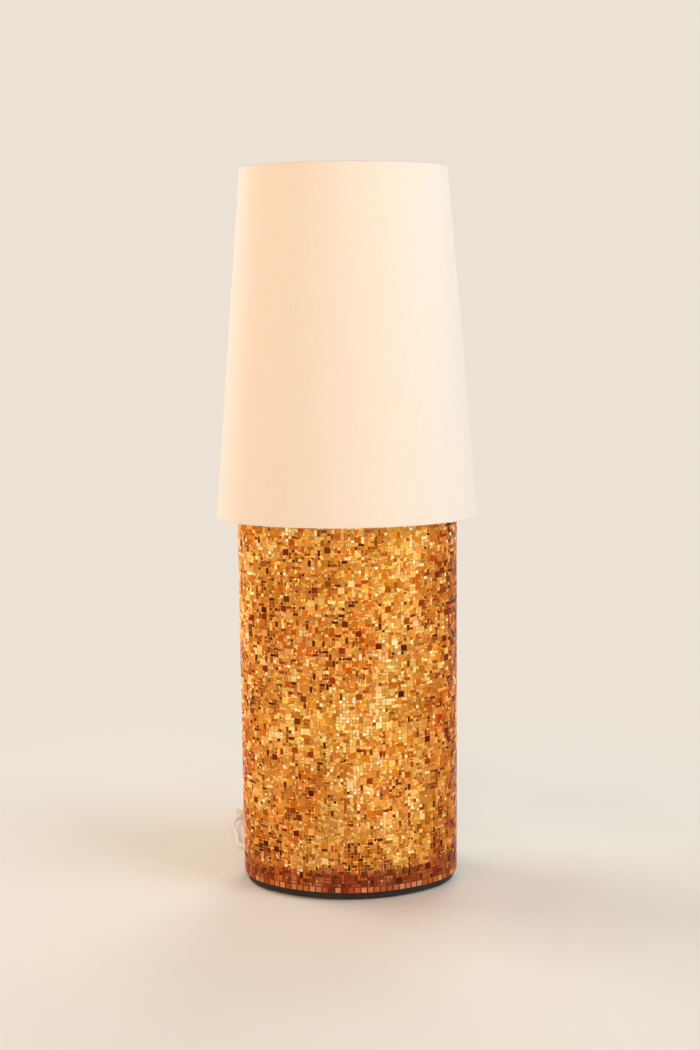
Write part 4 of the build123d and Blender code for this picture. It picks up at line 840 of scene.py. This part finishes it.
# %% Opal glass, light strips and acrylic
opal = start_finish(
    "opal_glass", tint(250, 240, 224), 0.2, Coat_Weight=0.4, Coat_Roughness=0.04,
    Emission_Color=(*tint(255, 226, 176), 1), Emission_Strength=0.25,
)
uneven(opal, tint(252, 243, 228), tint(244, 230, 208), 20 * MM, gloss=(0.14, 0.26))
strip = start_finish("light_strip", tint(250, 216, 120), 0.4)
uneven(strip, tint(252, 222, 130), tint(240, 196, 92), 4 * MM)
acrylic = start_finish("opal_acrylic", tint(246, 228, 196), 0.35)
uneven(acrylic, tint(248, 232, 202), tint(236, 214, 178), 30 * MM, gloss=(0.3, 0.45))
dress(opal, "bulb_globe", "left_bulb_glass", "right_bulb_glass")
dress(strip, "bulb_filament")
dress(acrylic, "body_tube")
print("bulb finishes are set")

# %% [markdown]
# ## The shade
#
# The shade is cotton laminated on a clear film, rolled into a tapered oval and turned in round a wire at
# each edge. One profile draws it all: the hem's raw edge inside, up and over the top wire, down the outside,
# round the bottom wire and up again to the other raw edge. The wires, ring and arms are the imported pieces.

# %% The shade's profile
shade_low, shade_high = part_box("shade_panel")
SHADE_BOTTOM, SHADE_TOP = shade_low.z, shade_high.z
SHADE_LOW_R = shade_high.x - END_OUT
NARROWING = 41.5 * MM
SHADE_HIGH_R = SHADE_LOW_R - NARROWING
PANEL = 1.2 * MM
TURN_IN = 0.6 * MM
HEM_IN = 5.1 * MM
HEM_HEIGHT = 9 * MM
WIRE_IN = 2.85 * MM
WIRE_UP = 2.2 * MM
CURL_STEPS = 7
WALL_STEPS = 40


def curl(edge, up, outer):
    """Half turn of the cloth round the wire, as (depth, height) points from its outer to its inner side."""
    points = []
    for step in range(CURL_STEPS + 1):
        angle = math.pi * step / CURL_STEPS
        side = WIRE_IN if angle < math.pi / 2 else HEM_IN - WIRE_IN
        tall = WIRE_UP
        if not outer:
            side -= PANEL if angle < math.pi / 2 else TURN_IN
            tall -= TURN_IN
        centre = edge + up * WIRE_UP
        points.append((WIRE_IN - side * math.cos(angle), centre - up * tall * math.sin(angle)))
    return points


def shade_outline(notch):
    """Closed outline of the cloth, as (depth, height). The notch lowers the bottom hem's edge for an arm."""
    wall = np.linspace(SHADE_BOTTOM + WIRE_UP, SHADE_TOP - WIRE_UP, WALL_STEPS)[1:-1]
    low_edge = SHADE_BOTTOM + WIRE_UP + (HEM_HEIGHT - WIRE_UP) * (1 - notch)
    high_edge = SHADE_TOP - HEM_HEIGHT
    outside = [(0, level) for level in wall]
    inside = [(PANEL, level) for level in wall[::-1]]
    top = curl(SHADE_TOP, -1, True) + [(HEM_IN, high_edge), (HEM_IN - TURN_IN, high_edge)]
    top += curl(SHADE_TOP, -1, False)[::-1]
    bottom = curl(SHADE_BOTTOM, 1, False) + [(HEM_IN - TURN_IN, low_edge), (HEM_IN, low_edge)]
    bottom += curl(SHADE_BOTTOM, 1, True)[::-1]
    return outside + top + inside + bottom


print("the shade's profile has", len(shade_outline(0)), "points")

# %% [markdown]
# Rolled by hand, the wall is never quite true: it waves by a few tenths of a millimetre. The waves are long
# and upright, because the cloth is stretched between the two wires, and fade out at the wires. Where an arm
# of the ring reaches the bottom wire, the hem's edge is notched.

# %% Build the shade
SHADE_COLUMNS = 240
WAVE = 0.35 * MM
LONG_WAVES = 7
SHORT_WAVES = 13
SHORT_SHARE = 0.7
WAVE_LEAN = 0.8
ARM_EVERY = SHADE_COLUMNS // 4
NOTCHES = {0: 0.95, 1: 0.6}
profiles = []
for column in range(SHADE_COLUMNS):
    from_arm = min(column % ARM_EVERY, -column % ARM_EVERY)
    profiles.append(shade_outline(NOTCHES.get(from_arm, 0.0)))
profiles = np.array(profiles)
depth, level = profiles[..., 0], profiles[..., 1]
rise = (level - SHADE_BOTTOM) / (SHADE_TOP - SHADE_BOTTOM)
share = np.broadcast_to(np.arange(SHADE_COLUMNS)[:, None] / SHADE_COLUMNS, depth.shape)
ripple = np.sin(2 * math.pi * (LONG_WAVES * share + 0.3))
ripple = ripple + SHORT_SHARE * np.sin(2 * math.pi * (SHORT_WAVES * share + WAVE_LEAN * rise))
wave = WAVE * ripple / (1 + SHORT_SHARE) * np.sin(math.pi * rise.clip(0, 1)) ** 0.5
outer_r = SHADE_LOW_R + (SHADE_HIGH_R - SHADE_LOW_R) * rise
points = oval_points(share, outer_r - depth - WAVE + wave, level)
size = depth.shape[1]
column = np.arange(SHADE_COLUMNS)[:, None] * size
next_column = np.roll(column, -1, axis=0)
here = np.arange(size)[None, :]
after = np.roll(here, -1, axis=1)
faces = np.stack([column + here, next_column + here, next_column + after, column + after], axis=-1)
cloth = block_mesh("shade_cloth", points.reshape(-1, 3), faces.reshape(-1, 4))
smooth(cloth)
print("shade cloth:", len(cloth.data.polygons), "faces")

# %% [markdown]
# The weave needs a map in real lengths: how far round the shade, and how far up. Two sets of thin waves
# cross in it as warp and weft, and slow noise along each set makes threads that thicken and thin.

# %% Map the cloth
ROUND_SHADE = around + 2 * math.pi * (SHADE_LOW_R + SHADE_HIGH_R - 2 * FACE_R) / 2
cloth_map = cloth.data.uv_layers.new(name="cloth_metres")
corner_index = np.zeros(len(cloth.data.loops), int)
cloth.data.loops.foreach_get("vertex_index", corner_index)
flat_x = (share * ROUND_SHADE).ravel()[corner_index].reshape(-1, 4)
wraps = flat_x.max(axis=1) - flat_x.min(axis=1) > ROUND_SHADE / 2
flat_x[wraps] = np.where(flat_x[wraps] < ROUND_SHADE / 2, flat_x[wraps] + ROUND_SHADE, flat_x[wraps])
flat_y = (level + depth).ravel()[corner_index]
cloth_map.data.foreach_set("uv", np.stack([flat_x.ravel(), flat_y], axis=-1).ravel())
print("the cloth is", round(ROUND_SHADE * 1000), "mm round at half height")

# %% [markdown]
# Cotton is matt and hardly mirrors anything. The two sets of threads shape both its colour and its bump. A
# weak warm glow stands for the light that comes through the cloth.

# %% Cloth finish
cotton = start_finish(
    "shade_cotton", tint(252, 243, 233), 0.78, Specular_IOR_Level=0.2, Sheen_Weight=0.05, Sheen_Roughness=0.5,
    Emission_Color=(*tint(255, 196, 120), 1), Emission_Strength=0.05,
)
where = add(cotton, "ShaderNodeUVMap", uv_map="cloth_metres")
THREAD = 0.55 * MM
SLUB_WIDTH = 0.9 * MM
SLUB_LENGTH = 40 * MM
SLUB_RANGE = (0.75, 1.25)
WAVE_TEXTURE_RATE = 20


def threads(direction, slub_stretch):
    """Thread pattern along one direction, with slubs."""
    place = add(cotton, "ShaderNodeMapping", [(where.outputs["UV"], "Vector")], Scale=slub_stretch)
    slub = add(cotton, "ShaderNodeTexNoise", [(place.outputs["Vector"], "Vector")], Scale=1.0, Detail=3.0)
    wave = add(
        cotton, "ShaderNodeTexWave", [(where.outputs["UV"], "Vector")], bands_direction=direction,
        Scale=2 * math.pi / THREAD / WAVE_TEXTURE_RATE, Distortion=0.0,
    )
    mixed = add(
        cotton, "ShaderNodeMath", [(wave.outputs["Fac"], 0), (slub.outputs["Fac"], 1)], operation="MULTIPLY"
    )
    return mixed.outputs["Value"], slub.outputs["Fac"]


warp, warp_slub = threads("X", (1 / SLUB_WIDTH, 1 / SLUB_LENGTH, 1))
weft, weft_slub = threads("Y", (1 / SLUB_LENGTH, 1 / SLUB_WIDTH, 1))
weave = add(cotton, "ShaderNodeMath", [(warp, 0), (weft, 1)], operation="ADD")
slubs = add(cotton, "ShaderNodeMath", [(warp_slub, 0), (weft_slub, 1)], operation="ADD")
slub_share = spread(cotton, slubs.outputs["Value"], 0, 1, *SLUB_RANGE)
feed(cotton, blend(cotton, slub_share, tint(251, 240, 229), tint(254, 246, 238)), "Base Color")
raise_surface(cotton, weave.outputs["Value"], 0.25, 0.08 * MM)
cloth.data.materials.append(cotton)
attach(cloth, "shade")
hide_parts("shade_panel", "shade_hem_bottom", "shade_hem_top")
flat_area = ROUND_SHADE * (SHADE_TOP - SHADE_BOTTOM + 2 * HEM_HEIGHT)
print("the cut of the cloth is", round(flat_area, 3), "square metres")

# %% [markdown]
# At the back the cloth overlaps itself by 12 mm and is glued. The lap shows as a thin step down the middle.
# Its outline is given across the lap, as shares of its width and of its rise.

# %% Back seam
SEAM_WIDTH = 12 * MM
SEAM_RISE = 0.38 * MM
SEAM_ROWS = 60
SEAM_PLACE = 0.25
SEAM_BEDDED = 2.2 * WAVE
across_lap = [(-0.5, 0.02), (-0.47, 0.9), (-0.2, 1.0), (0.2, 1.0), (0.47, 0.9), (0.5, 0.02)]
seam_points = []
for row in range(SEAM_ROWS + 1):
    part = row / SEAM_ROWS
    height = SHADE_BOTTOM + WIRE_UP + (SHADE_TOP - SHADE_BOTTOM - 2 * WIRE_UP) * part
    radius = SHADE_LOW_R + (SHADE_HIGH_R - SHADE_LOW_R) * (height - SHADE_BOTTOM) / (SHADE_TOP - SHADE_BOTTOM)
    for offset, thickness in across_lap:
        place = SEAM_PLACE + offset * SEAM_WIDTH / around
        seam_points.append(oval_points(place, radius - WAVE + thickness * SEAM_RISE, height))
    for offset, _ in across_lap[::-1]:
        place = SEAM_PLACE + offset * SEAM_WIDTH / around
        seam_points.append(oval_points(place, radius - SEAM_BEDDED, height))
ring = 2 * len(across_lap)
seam_faces = []
for row in range(SEAM_ROWS):
    for step in range(ring):
        low, high = row * ring, (row + 1) * ring
        after = (step + 1) % ring
        seam_faces.append((low + after, low + step, high + step, high + after))
seam = block_mesh("shade_lap", np.array(seam_points), np.array(seam_faces))
seam_flat = []
for row in range(SEAM_ROWS + 1):
    up = SHADE_BOTTOM + (SHADE_TOP - SHADE_BOTTOM) * row / SEAM_ROWS
    seam_flat += [(offset * SEAM_WIDTH, up) for offset, _ in across_lap + across_lap[::-1]]
seam_map = seam.data.uv_layers.new(name="cloth_metres")
seam_map.data.foreach_set("uv", np.array(seam_flat)[np.array(seam_faces).ravel()].ravel())
seam.data.materials.append(cotton)
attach(seam, "shade")
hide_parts("shade_seam")
print("seam:", len(seam.data.polygons), "faces")

# %% [markdown]
# ## Floor and light
#
# A plain pale floor, as in a small studio. Near the lamp it is a painted surface that takes the lamp's
# shadow. Further out it fades into the backdrop, so that no horizon cuts through the picture. The fade
# follows the distance from the lamp, never the camera.

# %% Floor
BACKDROP = tint(236, 226, 214)
FLOOR_RADIUS = 9.0
FLOOR_SIDES = 96
FLOOR_DROP = 0.2 * MM
FADE_START = 0.25
FADE_END = 1.0
rim = []
for step in range(FLOOR_SIDES):
    angle = 2 * math.pi * step / FLOOR_SIDES
    rim.append((FLOOR_RADIUS * math.cos(angle), FLOOR_RADIUS * math.sin(angle), -FLOOR_DROP))
floor_mesh = bpy.data.meshes.new("floor")
floor_mesh.from_pydata(rim, [], [tuple(range(FLOOR_SIDES))])
floor = bpy.data.objects.new("floor", floor_mesh)
bpy.context.scene.collection.objects.link(floor)
floor_paint = start_finish("floor_paint", tint(249, 245, 238), 0.7, Specular_IOR_Level=0.2)
uneven(floor_paint, tint(251, 248, 242), tint(247, 242, 234), 0.4, gloss=(0.6, 0.8))
paint_place = add(floor_paint, "ShaderNodeTexCoord")
from_lamp = add(
    floor_paint, "ShaderNodeVectorMath", [(paint_place.outputs["Object"], 0)], operation="LENGTH"
)
far = add(
    floor_paint, "ShaderNodeMapRange", [(from_lamp.outputs["Value"], "Value")],
    interpolation_type="SMOOTHSTEP", From_Min=FADE_START, From_Max=FADE_END,
)
backdrop = add(floor_paint, "ShaderNodeEmission", Color=(*BACKDROP, 1), Strength=1.0)
faded = add(
    floor_paint, "ShaderNodeMixShader",
    [(far.outputs["Result"], "Fac"), (floor_paint.node_tree.nodes["Principled BSDF"].outputs["BSDF"], 1),
     (backdrop.outputs["Emission"], 2)],
)
floor_paint.node_tree.links.new(
    faded.outputs["Shader"], floor_paint.node_tree.nodes["Material Output"].inputs["Surface"]
)
floor_mesh.materials.append(floor_paint)
print("the floor is", 2 * FLOOR_RADIUS, "m across")

# %% [markdown]
# The key lamp is large and soft and stands to the right, cool as daylight from a window. A warmer one stands
# in front, a weak red-orange one to the left, as from a room lit by bulbs, and one behind on the left
# brightens the edge. A last one lights the back. Together with the sky they light the lamp at about the level
# at which a colour shows as it was written.

# %% Lamps
LAMP_MIDDLE = (0, 0, 0.55)


def softbox(name, place, size, power, colour):
    """Large square lamp that faces the middle of the floor lamp."""
    light = bpy.data.lights.new(name, "AREA")
    light.shape = "SQUARE"
    light.size = size
    light.energy = power
    light.color = colour
    made = bpy.data.objects.new(name, light)
    bpy.context.scene.collection.objects.link(made)
    made.location = place
    made.rotation_euler = (Vector(LAMP_MIDDLE) - Vector(place)).to_track_quat("-Z", "Y").to_euler()


softbox("key_lamp", (2.55, -1.3, 2.1), 1.8, 50, (0.7, 0.8, 1.0))
softbox("front_lamp", (0.1, -2.9, 2.0), 1.8, 23, (1.0, 0.94, 0.42))
softbox("warm_lamp", (-2.0, -2.15, 1.7), 1.8, 21, (1.0, 0.22, 0.04))
softbox("edge_lamp", (-2.1, 0.8, 1.5), 1.4, 28, (0.98, 1.0, 0.95))
softbox("back_lamp", (0.9, 2.6, 1.9), 1.8, 27, (1.0, 0.99, 0.96))
print(len(bpy.data.lights), "lamps stand round the floor lamp")

# %% [markdown]
# The sky fills the shadows with a weak, slightly warm light. Where the camera sees it, or where metal or
# glass mirrors it, it shows the plain colour of the backdrop instead.

# %% Sky
SKY_LEVEL = 0.21
world = bpy.data.worlds.new("studio")
bpy.context.scene.world = world
world.use_nodes = True
sky = world.node_tree.nodes
links = world.node_tree.links
lit = sky["Background"]
lit.inputs["Color"].default_value = (1.04, 1.0, 0.88, 1)
lit.inputs["Strength"].default_value = SKY_LEVEL
backdrop_sky = sky.new("ShaderNodeBackground")
backdrop_sky.inputs["Color"].default_value = (*BACKDROP, 1)
backdrop_sky.inputs["Strength"].default_value = 1.0
ray = sky.new("ShaderNodeLightPath")
seen_directly = sky.new("ShaderNodeMath")
seen_directly.operation = "MAXIMUM"
seen_at_all = sky.new("ShaderNodeMath")
seen_at_all.operation = "MAXIMUM"
links.new(ray.outputs["Is Camera Ray"], seen_directly.inputs[0])
links.new(ray.outputs["Is Glossy Ray"], seen_directly.inputs[1])
links.new(seen_directly.outputs["Value"], seen_at_all.inputs[0])
links.new(ray.outputs["Is Transmission Ray"], seen_at_all.inputs[1])
choose_sky = sky.new("ShaderNodeMixShader")
links.new(seen_at_all.outputs["Value"], choose_sky.inputs["Fac"])
links.new(lit.outputs["Background"], choose_sky.inputs[1])
links.new(backdrop_sky.outputs["Background"], choose_sky.inputs[2])
links.new(choose_sky.outputs["Shader"], sky["World Output"].inputs["Surface"])
print("the sky gives", SKY_LEVEL)

# %% [markdown]
# ## Finish
#
# The last cell prints the pieces of the imported model that still show without a finish.

# %% Pieces without a finish
plain = [
    name for name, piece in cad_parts.items()
    if not piece.hide_render and any(place.material not in finishes for place in piece.material_slots)
]
print("pieces that show without a finish:", plain)
